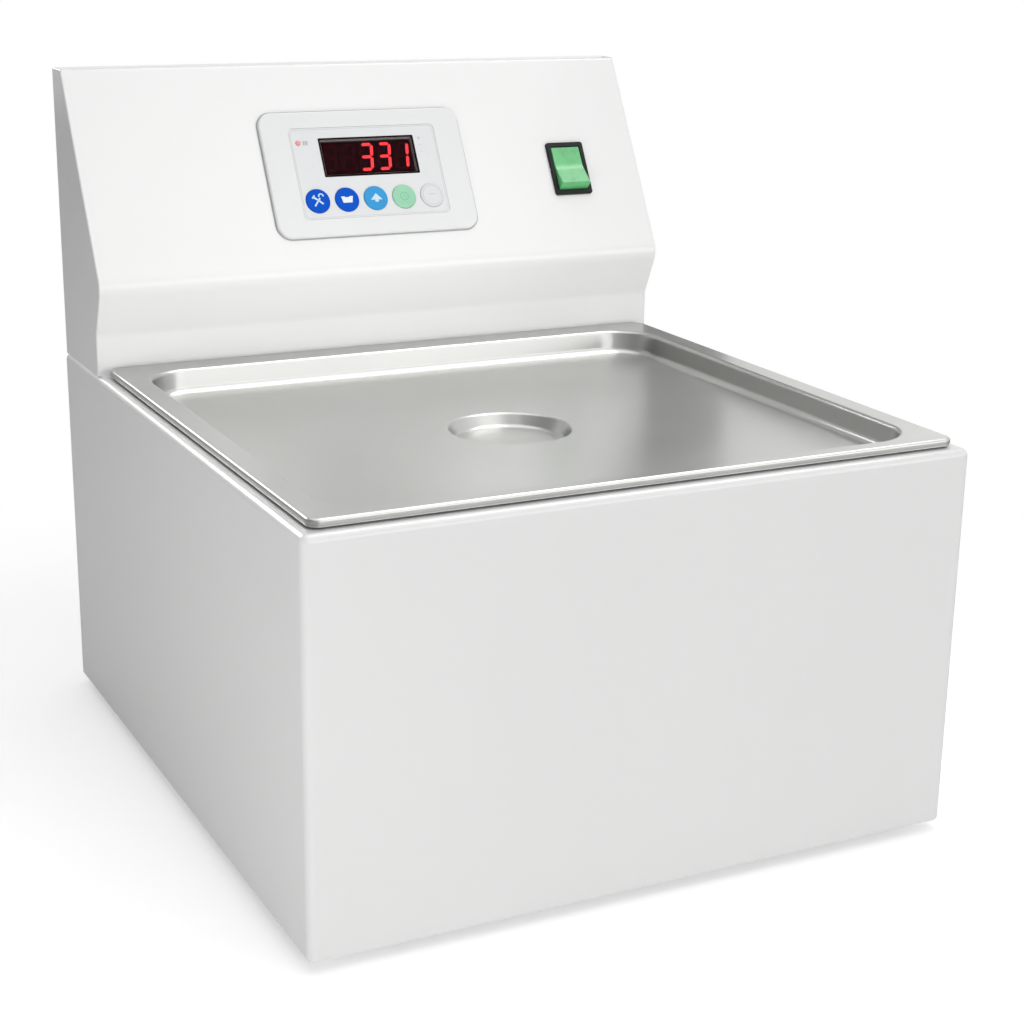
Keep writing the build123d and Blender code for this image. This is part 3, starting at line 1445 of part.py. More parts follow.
# Leads inside the casing. Each route is a short list of points, and every bend between
# two of its runs is as wide as the shorter run lets it be.
def lead_route(points):
    """A smooth path along a hand-laid route."""
    corners = [Vector(*point) for point in points]
    radii = []
    for before, here, after in zip(corners, corners[1:], corners[2:]):
        turn = radians((here - before).get_angle(after - here))
        shorter = min((here - before).length, (after - here).length)
        radii.append(lead_bend_share * shorter / tan(turn / 2))
    print("lead radii", [round(radius, 1) for radius in radii])
    with BuildLine() as route:
        FilletPolyline(*corners, radius=radii)
    return route.line


def leads(routes, width):
    """A group of round leads, one along each route."""
    with BuildPart() as group:
        for points in routes:
            line = lead_route(points)
            with BuildSketch(Plane(origin=line @ 0, z_dir=line % 0)):
                Circle(width / 2)
            sweep(path=line)
    return group


pole_x = [block_x + (pole - (block_poles - 1) / 2) * block_pitch for pole in range(block_poles)]
pole_level = block_top - block_slot_depth / 2
front_row_y = block_y - block_depth / 4
rear_row_y = block_y + block_depth / 4
blade_end_y = rear_face_y - inlet_body_depth - blade_reach
inlet_z = base_bottom + inlet_height

mains_routes = []
for (pin_x, pin_rise), end_x in zip(pin_places, (pole_x[4], pole_x[5], pole_x[3])):
    lead_x = inlet_x - pin_x
    lead_z = inlet_z + pin_rise
    mains_routes.append([
        (lead_x, blade_end_y, lead_z),
        (lead_x, front_row_y, lead_z),
        ((lead_x + end_x) / 2, front_row_y - lead_step / 3, (lead_z + pole_level) / 2),
        (end_x, front_row_y, pole_level + lead_drop),
        (end_x, front_row_y, pole_level),
    ])
mains_leads = leads(mains_routes, lead_width)
mains_leads.part.label = "mains_leads"
export_step(mains_leads.part, "parts/mains_leads.step")

heater_pin_y = heater_tail_y + heater_pin_reach
relay_pole_x = sink_x + relay_width / 4
supply_pole_x = sink_x - relay_width / 4
relay_pole_z = sink_z - (relay_tall - relay_notch) / 2
relay_pole_y = rear_y - sink_fin_reach - sink_base - relay_depth + relay_notch_depth - relay_screw_rise
heater_routes = [
    [
        (-heater_leg_x, heater_pin_y, heater_z),
        (-heater_leg_x, heater_pin_y + lead_step, heater_z),
        (relay_pole_x, heater_pin_y + lead_step, relay_pole_z),
        (relay_pole_x, relay_pole_y, relay_pole_z),
    ],
    [
        (supply_pole_x, relay_pole_y, relay_pole_z),
        (supply_pole_x, relay_pole_y - lead_step, relay_pole_z),
        (supply_pole_x + lead_step, rear_row_y - lead_step, relay_pole_z - 2 * lead_drop),
        (sink_x + 5 * lead_step, rear_row_y - lead_step, pole_level + 2 * lead_drop),
        (pole_x[1] - 2 * lead_step, rear_row_y - lead_step / 3, pole_level + 2 * lead_drop),
        (pole_x[1], rear_row_y, pole_level + lead_drop),
        (pole_x[1], rear_row_y, pole_level),
    ],
    [
        (heater_leg_x, heater_pin_y, heater_z),
        (heater_leg_x, heater_pin_y + lead_step, heater_z),
        (heater_leg_x + lead_step / 2, rear_row_y, heater_z - lead_drop),
        (pole_x[0] - lead_step / 3, rear_row_y + lead_step / 3, pole_level + 2 * lead_drop),
        (pole_x[0], rear_row_y, pole_level + lead_drop),
        (pole_x[0], rear_row_y, pole_level),
    ],
]
heater_leads = leads(heater_routes, lead_width)
heater_leads.part.label = "heater_leads"
export_step(heater_leads.part, "parts/heater_leads.step")

# One sleeved loom from the terminal block up through the casing's top to the controller
housing_entry = controller_face.from_local_coords(Vector(0, -housing_height / 2, -housing_depth / 2))
housing_below = controller_face.from_local_coords(Vector(0, -housing_height, -housing_depth / 2))
loom_routes = [[
    (pole_x[2], rear_row_y, pole_level),
    (pole_x[2], rear_row_y, pole_level + lead_drop),
    (pole_x[2] - lead_step, rear_row_y + lead_step / 3, pole_level + 3 * lead_drop),
    (pole_x[2] - 4 * lead_step, rear_row_y, (pole_level + casing_top) / 2),
    (2 * lead_step, console_mid_y, casing_top - 2 * lead_drop),
    (0, console_mid_y, casing_top + lead_drop),
    tuple(housing_below),
    tuple(housing_entry),
]]
control_loom = leads(loom_routes, loom_width)
control_loom.part.label = "control_loom"
export_step(control_loom.part, "parts/control_loom.step")
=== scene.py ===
import json
from math import cos, pi, radians, sin, tan

import bmesh
import bpy
from mathutils import Matrix, Vector


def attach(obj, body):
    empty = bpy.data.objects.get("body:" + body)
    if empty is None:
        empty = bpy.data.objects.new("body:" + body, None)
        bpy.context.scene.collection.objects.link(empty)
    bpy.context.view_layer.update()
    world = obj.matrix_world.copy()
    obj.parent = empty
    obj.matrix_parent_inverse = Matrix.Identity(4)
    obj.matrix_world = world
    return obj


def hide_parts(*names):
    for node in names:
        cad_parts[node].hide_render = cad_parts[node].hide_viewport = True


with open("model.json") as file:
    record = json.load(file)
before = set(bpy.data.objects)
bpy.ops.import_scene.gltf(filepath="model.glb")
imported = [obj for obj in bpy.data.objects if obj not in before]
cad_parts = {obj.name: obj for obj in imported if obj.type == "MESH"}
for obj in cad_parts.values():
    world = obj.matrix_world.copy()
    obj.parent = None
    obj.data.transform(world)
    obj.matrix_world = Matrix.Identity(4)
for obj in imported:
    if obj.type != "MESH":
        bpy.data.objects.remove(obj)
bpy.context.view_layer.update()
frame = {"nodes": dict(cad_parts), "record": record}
nodes = frame["nodes"]
behaviour = frame["record"]["behaviour"]
MM = 0.001

# Camera, fitted to the corners of the casing, lid and console
IMAGE_PIXELS = 1024
FOCAL_PIXELS = 1972
SENSOR = 36.0
VIEW_AZIMUTH = radians(-26.75)
VIEW_ELEVATION = radians(16.99)
VIEW_ROLL = radians(0.84)
VIEW_DISTANCE = 1.1364
VIEW_TARGET = Vector((0.02076, -0.0021, 0.14498))
CLIP_NEAR, CLIP_FAR = 0.01, 20

# Lamps, each aimed at a target from an azimuth, an elevation and a distance, in degrees and metres.
# Polished surfaces don't show one that isn't mirrored, and only they show one that isn't lighting.
MIDDLE = (0, 0, 0.15)
LAMPS = {
    "key_box": dict(azimuth=24, elevation=52, distance=1.9, size=(1.5, 1.1), power=3.2),
    "top_box": dict(azimuth=0, elevation=88, distance=1.5, size=(1.9, 1.9), power=11),
    "front_fill": dict(azimuth=20, elevation=9, distance=2.2, size=(2.4, 0.9), power=11.8),
    "side_card": dict(azimuth=-64, elevation=4, distance=0.75, size=(0.45, 0.3), power=0.60,
                      target=(-0.18, -0.20, 0.12), mirrored=False, spread=90),
    "lid_bounce": dict(azimuth=0, elevation=-35, distance=0.20, size=(0.34, 0.10), power=0.12,
                       target=(0.0, 0.12, 0.36), mirrored=False),
    "rear_fill": dict(azimuth=160, elevation=14, distance=2.2, size=(1.6, 1.0), power=4.5,
                      mirrored=False),
    "front_edge_strip": dict(azimuth=86, elevation=66, distance=1.6, size=(0.5, 0.9), power=8,
                             lighting=False),
    "left_edge_strip": dict(azimuth=199, elevation=25, distance=1.5, size=(0.7, 0.5), power=6,
                            target=(-0.18, 0.0, 0.21), lighting=False),
}

# The room: dark at its left and pale at its right, and brighter in polished metal
ROOM_GLOW = 0.46
ROOM_DARK, ROOM_PALE = (0.12, 0.12, 0.125), (0.84, 0.84, 0.84)
ROOM_ACROSS = (-0.9, 0.6)
MIRRORED_DARK = (0.28, 0.28, 0.285)
MIRRORED_DEPTH = (-0.9, 0.9)
MIRRORED_GLOW = (1.55, 1.3)
WHITE = (1, 1, 1, 1)

# The dark flag behind the right end of the lid, in metres
FLAG_LEFT, FLAG_RIGHT = 0.190, 0.300
FLAG_LOW, FLAG_HIGH = 0.15, 0.75
FLAG_Y = 0.21
FLAG_TONE = 0.40

FLOOR_REACH = 4.0
FLOOR_TONE = 0.92
FLOOR_GLOW = 0.42
FLOOR_SPECULAR = 0.1
FLOOR_SHADOW_REACH = (0.36, 0.62)
MATT = 0.9

# How noise drives a surface: its detail, the share of the fine grain, and the span that it covers
NOISE_DETAIL = 3
FINE_SHARE = 0.35
NOISE_SPAN = (0.4, 0.95)
SMOOTHEST = 0.02
COAT_ROUGHNESS = 0.12

SMOOTH_ANGLE = radians(32)
WELD_DISTANCE = 0.002 * MM

# The corner of a drawn line reaches out by no more than its half width over this
MITRE_LIMIT = 0.5

# Print on the controller, in millimetres
KEY_PRINT = 0.05
FILM_PRINT = 0.03
FILM_LINE, FILM_LINE_INSET, FILM_LINE_CORNER = 0.35, 0.9, 3.0
SIGN_COLUMN_GAP = 4.0
# The seal's grey line round the plate is partly painted shadow.
SEAL_WIDTH, SEAL_THICKNESS = 0.7, 0.5
PLATE_CORNER = 9.0
LINING_WIDTH, LINING_CORNER = 1.1, 0.3
LINING_GAP, LINING_RISE = 0.2, 0.02

# The digits on the display, in millimetres
DIGIT_PITCH = 11.8
DIGIT_HEIGHT = 18.0
DIGIT_WIDTH = 8.8
DIGIT_BAR = 1.9
DIGIT_GAP = 0.3
DIGIT_LEAN = tan(radians(8))
DIGIT_SHIFT = -1.2
DIGIT_THICKNESS = 0.12
DIGITS_SHOWN = ("", "", "abcdg", "abcdg", "bc")


def view_axes(azimuth, elevation):
    """Unit vectors to the right of, up from and back to a camera."""
    back = Vector((sin(azimuth) * cos(elevation), -cos(azimuth) * cos(elevation), sin(elevation)))
    right = (-back).cross(Vector((0, 0, 1))).normalized()
    return right, back.cross(right), back


def place(obj, axes, origin):
    """Turns an object to three axes and puts it at a point."""
    obj.matrix_world = Matrix.Translation(origin) @ Matrix(axes).transposed().to_4x4()


def add_object(name, data):
    obj = bpy.data.objects.new(name, data)
    bpy.context.scene.collection.objects.link(obj)
    return obj


def photo_camera():
    data = bpy.data.cameras.new("photo_camera")
    data.sensor_width = SENSOR
    data.lens = SENSOR * FOCAL_PIXELS / IMAGE_PIXELS
    data.clip_start = CLIP_NEAR
    data.clip_end = CLIP_FAR
    camera = add_object("photo_camera", data)
    right, up, back = view_axes(VIEW_AZIMUTH, VIEW_ELEVATION)
    rolled_right = right * cos(VIEW_ROLL) + up * sin(VIEW_ROLL)
    rolled_up = up * cos(VIEW_ROLL) - right * sin(VIEW_ROLL)
    place(camera, (rolled_right, rolled_up, back), VIEW_TARGET + back * VIEW_DISTANCE)
    bpy.context.scene.camera = camera


def area_light(name, azimuth, elevation, distance, size, power, target=MIDDLE, mirrored=True,
               spread=180, lighting=True):
    """A rectangular lamp of a size in metres, a power in watts and a spread in degrees."""
    data = bpy.data.lights.new(name, "AREA")
    data.shape = "RECTANGLE"
    data.size, data.size_y = size
    data.energy = power
    data.spread = radians(spread)
    light = add_object(name, data)
    axes = view_axes(radians(azimuth), radians(elevation))
    place(light, axes, Vector(target) + axes[2] * distance)
    light.visible_glossy = mirrored
    light.visible_diffuse = lighting


def carried(tree, value, source, target=(0, 1)):
    """A node that carries a value from one span to another."""
    node = tree.nodes.new("ShaderNodeMapRange")
    for name, number in zip(("From Min", "From Max", "To Min", "To Max"), (*source, *target)):
        node.inputs[name].default_value = number
    tree.links.new(value, node.inputs["Value"])
    return node


def mix_colours(tree, factor, low, high):
    node = tree.nodes.new("ShaderNodeMix")
    node.data_type = "RGBA"
    tree.links.new(factor, node.inputs["Factor"])
    node.inputs["A"].default_value = (*low, 1)
    node.inputs["B"].default_value = (*high, 1)
    return node.outputs["Result"]


def mix_shaders(tree, factor, first, second):
    node = tree.nodes.new("ShaderNodeMixShader")
    for value, socket in zip((factor, first, second), node.inputs):
        tree.links.new(value, socket)
    return node.outputs[0]


def room():
    """White where the camera sees past the object, and a soft grey room for everything else."""
    world = bpy.data.worlds.new("room")
    bpy.context.scene.world = world
    world.use_nodes = True
    tree = world.node_tree
    tree.nodes.clear()
    path = tree.nodes.new("ShaderNodeLightPath")
    where = tree.nodes.new("ShaderNodeTexCoord")
    split = tree.nodes.new("ShaderNodeSeparateXYZ")
    tree.links.new(where.outputs["Generated"], split.inputs[0])
    across = carried(tree, split.outputs["X"], ROOM_ACROSS).outputs["Result"]

    dim = tree.nodes.new("ShaderNodeBackground")
    dim.inputs["Strength"].default_value = ROOM_GLOW
    tree.links.new(mix_colours(tree, across, ROOM_DARK, ROOM_PALE), dim.inputs["Color"])

    mirror = tree.nodes.new("ShaderNodeBackground")
    tree.links.new(mix_colours(tree, across, MIRRORED_DARK, ROOM_PALE), mirror.inputs["Color"])
    depth = carried(tree, split.outputs["Y"], MIRRORED_DEPTH, MIRRORED_GLOW)
    tree.links.new(depth.outputs["Result"], mirror.inputs["Strength"])

    white = tree.nodes.new("ShaderNodeBackground")
    white.inputs["Color"].default_value = WHITE
    white.inputs["Strength"].default_value = 1.0

    glossy = tree.nodes.new("ShaderNodeMath")
    glossy.operation = "MAXIMUM"
    tree.links.new(path.outputs["Is Glossy Ray"], glossy.inputs[0])
    tree.links.new(path.outputs["Is Transmission Ray"], glossy.inputs[1])
    lit = mix_shaders(tree, glossy.outputs[0], dim.outputs[0], mirror.outputs[0])
    seen = mix_shaders(tree, path.outputs["Is Camera Ray"], lit, white.outputs[0])
    out = tree.nodes.new("ShaderNodeOutputWorld")
    tree.links.new(seen, out.inputs["Surface"])


def flat_card(name, corners, material_name, tone):
    """A flat matt card of one grey, with its shader to build on."""
    mesh = bpy.data.meshes.new(name)
    mesh.from_pydata(corners, [], [(0, 1, 2, 3)])
    card = add_object(name, mesh)
    material = bpy.data.materials.new(material_name)
    material.use_nodes = True
    shader = material.node_tree.nodes["Principled BSDF"]
    shader.inputs["Base Color"].default_value = (tone, tone, tone, 1)
    shader.inputs["Roughness"].default_value = MATT
    mesh.materials.append(material)
    return card, material.node_tree, shader


def dark_flag():
    """A dark flag behind the right end of the lid, which only polished metal and gloss show."""
    corners = [(FLAG_LEFT, FLAG_Y, FLAG_LOW), (FLAG_RIGHT, FLAG_Y, FLAG_LOW),
               (FLAG_RIGHT, FLAG_Y, FLAG_HIGH), (FLAG_LEFT, FLAG_Y, FLAG_HIGH)]
    card = flat_card("dark_card", corners, "dark_felt", FLAG_TONE)[0]
    card.visible_camera = False
    card.visible_diffuse = False
    card.visible_shadow = False
    card.visible_transmission = False


def pale_floor():
    """A white floor that keeps the object's shadow, and is plain white further out."""
    corners = [(x * FLOOR_REACH, y * FLOOR_REACH, 0)
               for x, y in ((-1, -1), (1, -1), (1, 1), (-1, 1))]
    floor, tree, shader = flat_card("floor", corners, "floor_white", FLOOR_TONE)
    shader.inputs["Specular IOR Level"].default_value = FLOOR_SPECULAR
    glow = tree.nodes.new("ShaderNodeEmission")
    glow.inputs["Strength"].default_value = FLOOR_GLOW
    both = tree.nodes.new("ShaderNodeAddShader")
    tree.links.new(shader.outputs[0], both.inputs[0])
    tree.links.new(glow.outputs[0], both.inputs[1])
    plain = tree.nodes.new("ShaderNodeEmission")
    plain.inputs["Strength"].default_value = 1.0

    where = tree.nodes.new("ShaderNodeTexCoord")
    away = tree.nodes.new("ShaderNodeVectorMath")
    away.operation = "LENGTH"
    tree.links.new(where.outputs["Object"], away.inputs[0])
    fade = carried(tree, away.outputs["Value"], FLOOR_SHADOW_REACH)
    fade.interpolation_type = "SMOOTHSTEP"
    seen = mix_shaders(tree, fade.outputs["Result"], both.outputs[0], plain.outputs[0])
    path = tree.nodes.new("ShaderNodeLightPath")
    picked = mix_shaders(tree, path.outputs["Is Camera Ray"], shader.outputs[0], seen)
    tree.links.new(picked, tree.nodes["Material Output"].inputs["Surface"])


# Materials. Each has a fine grain in its bump, and a slow drift in its colour and roughness.
def surface(name, colour, rough, metal=0.0, drift=0.04, drift_size=0.05, grain=0.4,
            grain_depth=0.02, rough_drift=0.06, coat=0.0, glow=None, glow_strength=0.0, alpha=1.0,
            anisotropic=0.0, specular=0.5, brushed_across=None):
    """A Principled material.

    A grain is one size in millimetres, or its sizes along X, Y and Z. Its depth is in millimetres,
    and the size of a drift in metres."""
    material = bpy.data.materials.new(name)
    material.use_nodes = True
    tree = material.node_tree
    shader = tree.nodes["Principled BSDF"]
    where = tree.nodes.new("ShaderNodeTexCoord")

    slow = tree.nodes.new("ShaderNodeTexNoise")
    slow.inputs["Scale"].default_value = 1 / drift_size
    slow.inputs["Detail"].default_value = NOISE_DETAIL
    tree.links.new(where.outputs["Object"], slow.inputs["Vector"])

    sizes = grain if isinstance(grain, tuple) else (grain, grain, grain)
    scale = tree.nodes.new("ShaderNodeMapping")
    scale.inputs["Scale"].default_value = [1 / (size * MM) for size in sizes]
    tree.links.new(where.outputs["Object"], scale.inputs["Vector"])
    fine = tree.nodes.new("ShaderNodeTexNoise")
    fine.inputs["Scale"].default_value = 1.0
    fine.inputs["Detail"].default_value = NOISE_DETAIL
    tree.links.new(scale.outputs[0], fine.inputs["Vector"])

    mixed = tree.nodes.new("ShaderNodeMath")
    mixed.operation = "MULTIPLY_ADD"
    mixed.inputs[1].default_value = FINE_SHARE
    tree.links.new(fine.outputs["Fac"], mixed.inputs[0])
    tree.links.new(slow.outputs["Fac"], mixed.inputs[2])
    dark = [part * (1 - drift) for part in colour]
    light = [min(1.0, part * (1 + drift)) for part in colour]
    spread = carried(tree, mixed.outputs[0], NOISE_SPAN)
    tone = mix_colours(tree, spread.outputs["Result"], dark, light)
    tree.links.new(tone, shader.inputs["Base Color"])

    rough_span = max(SMOOTHEST, rough - rough_drift), min(1.0, rough + rough_drift)
    shine = carried(tree, mixed.outputs[0], NOISE_SPAN, rough_span)
    tree.links.new(shine.outputs["Result"], shader.inputs["Roughness"])

    bump = tree.nodes.new("ShaderNodeBump")
    bump.inputs["Strength"].default_value = 1.0
    bump.inputs["Distance"].default_value = grain_depth * MM
    tree.links.new(fine.outputs["Fac"], bump.inputs["Height"])
    tree.links.new(bump.outputs["Normal"], shader.inputs["Normal"])

    if brushed_across:
        across = tree.nodes.new("ShaderNodeCombineXYZ")
        for socket, part in zip(across.inputs, brushed_across):
            socket.default_value = part
        tree.links.new(across.outputs[0], shader.inputs["Tangent"])
    shader.inputs["Metallic"].default_value = metal
    shader.inputs["Coat Weight"].default_value = coat
    shader.inputs["Coat Roughness"].default_value = COAT_ROUGHNESS
    shader.inputs["Alpha"].default_value = alpha
    shader.inputs["Anisotropic"].default_value = anisotropic
    shader.inputs["Specular IOR Level"].default_value = specular
    if glow:
        shader.inputs["Emission Color"].default_value = (*glow, 1)
        shader.inputs["Emission Strength"].default_value = glow_strength
    return material


def ink(name, colour, drift):
    """Matt ink, with the grain of the film that it is printed on."""
    return surface(name, colour, 0.5, drift=drift, drift_size=0.004, grain=0.3, grain_depth=0.006)


def key_plastic(name, colour, drift=0.05, specular=0.06):
    return surface(name, colour, 0.42, drift=drift, drift_size=0.01, grain=0.25, grain_depth=0.01,
                   specular=specular)


def make_materials():
    """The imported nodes' material slots, and the inks and trim of the scene's own pieces."""
    return {
        "casing_paint": surface("white_powder_coat", (0.89, 0.89, 0.885), 0.34, drift=0.012,
                                drift_size=0.16, grain=1.1, grain_depth=0.012, coat=0.5),
        "lid_steel": surface("brushed_lid_steel", (0.475, 0.475, 0.46), 0.30, metal=1.0, drift=0.03,
                             drift_size=0.11, grain=(26.0, 0.22, 6.0), grain_depth=0.0010,
                             rough_drift=0.03, anisotropic=0.70, brushed_across=(0.32, 0.63, 0.71)),
        "tank_steel": surface("tank_steel", (0.56, 0.56, 0.55), 0.34, metal=1.0, drift=0.06,
                              grain=(9.0, 0.3, 3.0), grain_depth=0.003),
        "zinc_steel": surface("zinc_plate", (0.55, 0.56, 0.58), 0.42, metal=1.0, drift=0.12,
                              drift_size=0.012, grain=1.4, grain_depth=0.01),
        "screw_steel": surface("plated_screws", (0.62, 0.62, 0.61), 0.24, metal=1.0, drift=0.05,
                               drift_size=0.004, grain=0.3, grain_depth=0.003),
        "foot_rubber": surface("foot_rubber", (0.030, 0.030, 0.032), 0.78, drift=0.2,
                               drift_size=0.006, grain=0.5, grain_depth=0.05),
        # Black rubber of the seals. Their dark lines between the parts are partly painted shade,
        # standing in for shadow gaps.
        "gasket_rubber": surface("gasket_rubber", (0.06, 0.06, 0.06), 0.7, drift=0.15,
                                 drift_size=0.01, grain=0.5, grain_depth=0.03),
        "mineral_wool": surface("mineral_wool", (0.62, 0.55, 0.34), 0.95, drift=0.25,
                                drift_size=0.009, grain=(5.0, 0.6, 0.6), grain_depth=0.5),
        "heater_steel": surface("heater_steel", (0.36, 0.34, 0.32), 0.4, metal=1.0, drift=0.2,
                                drift_size=0.02, grain=0.8, grain_depth=0.008),
        "brass": surface("brass", (0.70, 0.53, 0.24), 0.32, metal=1.0, drift=0.1,
                         drift_size=0.006, grain_depth=0.005),
        "frame_white": surface("controller_plate", (0.815, 0.82, 0.82), 0.36, drift=0.015,
                               drift_size=0.03, grain=0.5, grain_depth=0.010, coat=0.1),
        "overlay_film": surface("overlay_film", (0.785, 0.795, 0.80), 0.46, drift=0.02,
                                drift_size=0.02, grain=0.25, grain_depth=0.010),
        "window_red": surface("display_window", (0.020, 0.001, 0.003), 0.16, drift=0.1,
                              drift_size=0.03, grain=0.6, grain_depth=0.001, alpha=0.30,
                              specular=0.03),
        "module_black": surface("display_face", (0.012, 0.002, 0.004), 0.5, drift=0.25,
                                drift_size=0.004, grain=0.3, grain_depth=0.01, specular=0.05),
        "segment_lit": surface("lit_bars", (0.9, 0.05, 0.05), 0.4, drift=0.05, drift_size=0.002,
                               grain=0.3, grain_depth=0.005,
                               glow=(1.0, 0.035, 0.045), glow_strength=2.4),
        # The unlit bars carry a faint painted glow, though they give no light.
        "segment_dark": surface("unlit_bars_painted_glow", (0.045, 0.004, 0.008), 0.6, drift=0.2,
                                drift_size=0.002, grain=0.3, grain_depth=0.005,
                                specular=0.03, glow=(0.30, 0.01, 0.02), glow_strength=0.04),
        "lamp_red": surface("status_lamp", (0.78, 0.30, 0.30), 0.3, drift=0.06, drift_size=0.002,
                            grain=0.3, grain_depth=0.004,
                            glow=(1.0, 0.25, 0.22), glow_strength=0.12),
        "key_blue": key_plastic("blue_key", (0.002, 0.095, 0.62)),
        "key_sky": key_plastic("sky_key", (0.050, 0.36, 0.74), specular=0.08),
        "key_green": key_plastic("green_key", (0.36, 0.70, 0.48), drift=0.06, specular=0.15),
        "key_grey": surface("grey_key", (0.74, 0.74, 0.76), 0.40, drift=0.03, drift_size=0.01,
                            grain=0.25, grain_depth=0.01, coat=0.3),
        "black_plastic": surface("black_plastic", (0.012, 0.016, 0.014), 0.40, drift=0.25,
                                 drift_size=0.01, grain_depth=0.012, specular=0.15),
        "board_green": surface("board_green", (0.02, 0.16, 0.06), 0.4, drift=0.15,
                               drift_size=0.004, grain=0.6, grain_depth=0.01),
        "rocker_green": surface("lit_rocker", (0.115, 0.46, 0.17), 0.30, drift=0.16,
                                drift_size=0.007, grain=0.5, grain_depth=0.006,
                                coat=0.1, glow=(0.16, 0.72, 0.24), glow_strength=0.08),
        "fuse_glass": surface("fuse_glass", (0.70, 0.71, 0.71), 0.2, metal=0.6, drift=0.1,
                              drift_size=0.004, grain_depth=0.002),
        "sink_aluminium": surface("sink_aluminium", (0.66, 0.67, 0.68), 0.4, metal=1.0, drift=0.06,
                                  drift_size=0.02, grain=(0.3, 0.3, 12.0), grain_depth=0.006),
        "block_white": surface("block_nylon", (0.78, 0.77, 0.72), 0.45, drift_size=0.01,
                               grain_depth=0.01),
        "lead_sheath": surface("lead_sheath", (0.50, 0.06, 0.05), 0.5, drift=0.08,
                               drift_size=0.01, grain=0.5, grain_depth=0.01),
        "loom_sheath": surface("loom_sheath", (0.05, 0.05, 0.055), 0.7, drift=0.2,
                               drift_size=0.004, grain=0.5, grain_depth=0.05),
        # The seal's grey is partly a painted shadow line round the controller's plate.
        "plate_seal_shadow_line": surface("plate_seal_shadow_line", (0.42, 0.43, 0.43), 0.7, drift=0.08, drift_size=0.01),
        "print_white": ink("white_print", (0.86, 0.90, 0.95), 0.02),
        "print_pale": ink("pale_print", (0.62, 0.80, 0.92), 0.03),
        "print_green": ink("green_print", (0.22, 0.60, 0.36), 0.04),
        "print_grey": ink("grey_print", (0.62, 0.63, 0.66), 0.03),
        "print_dark": ink("dark_print", (0.30, 0.30, 0.33), 0.05),
    }


def smooth(obj):
    """Rounds the shading of shallow edges and keeps the sharp ones."""
    for polygon in obj.data.polygons:
        polygon.use_smooth = True
    weld = obj.modifiers.new("weld", "WELD")
    weld.merge_threshold = WELD_DISTANCE
    split = obj.modifiers.new("split", "EDGE_SPLIT")
    split.split_angle = SMOOTH_ANGLE
    even = obj.modifiers.new("even", "WEIGHTED_NORMAL")
    even.keep_sharp = True


def dress_nodes(materials):
    """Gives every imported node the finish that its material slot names."""
    for row in frame["record"]["subparts"]:
        node = nodes[row["node"]]
        node.data.materials.clear()
        node.data.materials.append(materials[row["material_slot"]])
        smooth(node)


# The sloping panel: to its right, up its slope and straight out of it
press = next(joint["axis"] for joint in behaviour["joints"] if joint["name"] == "set_key_press")
OUT = -Vector(press)
PANEL = (Vector((1, 0, 0)), Vector((0, OUT.z, -OUT.y)), OUT)


def reach(node, direction):
    """How far a node goes along a direction, at its lowest and at its highest."""
    along = [direction.dot(vertex.co) for vertex in nodes[node].data.vertices]
    return min(along), max(along)


def panel_size(node):
    """A node's width, height and thickness on the sloping panel, in millimetres."""
    return [(high - low) / MM for low, high in (reach(node, axis) for axis in PANEL)]


def face_of(node):
    """The middle of a node's outer face on the sloping panel."""
    spans = [reach(node, axis) for axis in PANEL]
    return PANEL[0] * sum(spans[0]) / 2 + PANEL[1] * sum(spans[1]) / 2 + PANEL[2] * spans[2][1]


def rounded_outline(width, height, corner, steps=8):
    """Points of a rounded rectangle round the origin, in order."""
    points = []
    for quarter, (side, end) in enumerate(((1, 1), (-1, 1), (-1, -1), (1, -1))):
        for step in range(steps + 1):
            angle = (quarter + step / steps) * pi / 2
            points.append(((width / 2 - corner) * side + corner * cos(angle),
                           (height / 2 - corner) * end + corner * sin(angle)))
    return points


def arc_points(radius, start, end, steps=28, centre=(0, 0)):
    """Points along an arc, with its angles in degrees."""
    turns = [radians(start + (end - start) * step / steps) for step in range(steps + 1)]
    return [(centre[0] + radius * cos(turn), centre[1] + radius * sin(turn)) for turn in turns]


def circle_points(radius, steps=28, centre=(0, 0)):
    return arc_points(radius, 0, 360, steps, centre)[:-1]


def line_sides(points, width, closed):
    """Both sides of a drawn line of even width, mitred where it turns."""
    count = len(points)
    sides = []
    for index, point in enumerate(points):
        before = points[index - 1] if closed or index else point
        after = points[(index + 1) % count] if closed or index < count - 1 else point
        first = Vector(point) - Vector(before)
        second = Vector(after) - Vector(point)
        first = first.normalized() if first.length else second.normalized()
        second = second.normalized() if second.length else first
        across = Vector((-first.y - second.y, first.x + second.x)).normalized()
        half = width / 2 / max(MITRE_LIMIT, across.dot(Vector((-first.y, first.x))))
        sides.append((Vector(point) + across * half, Vector(point) - across * half))
    return sides


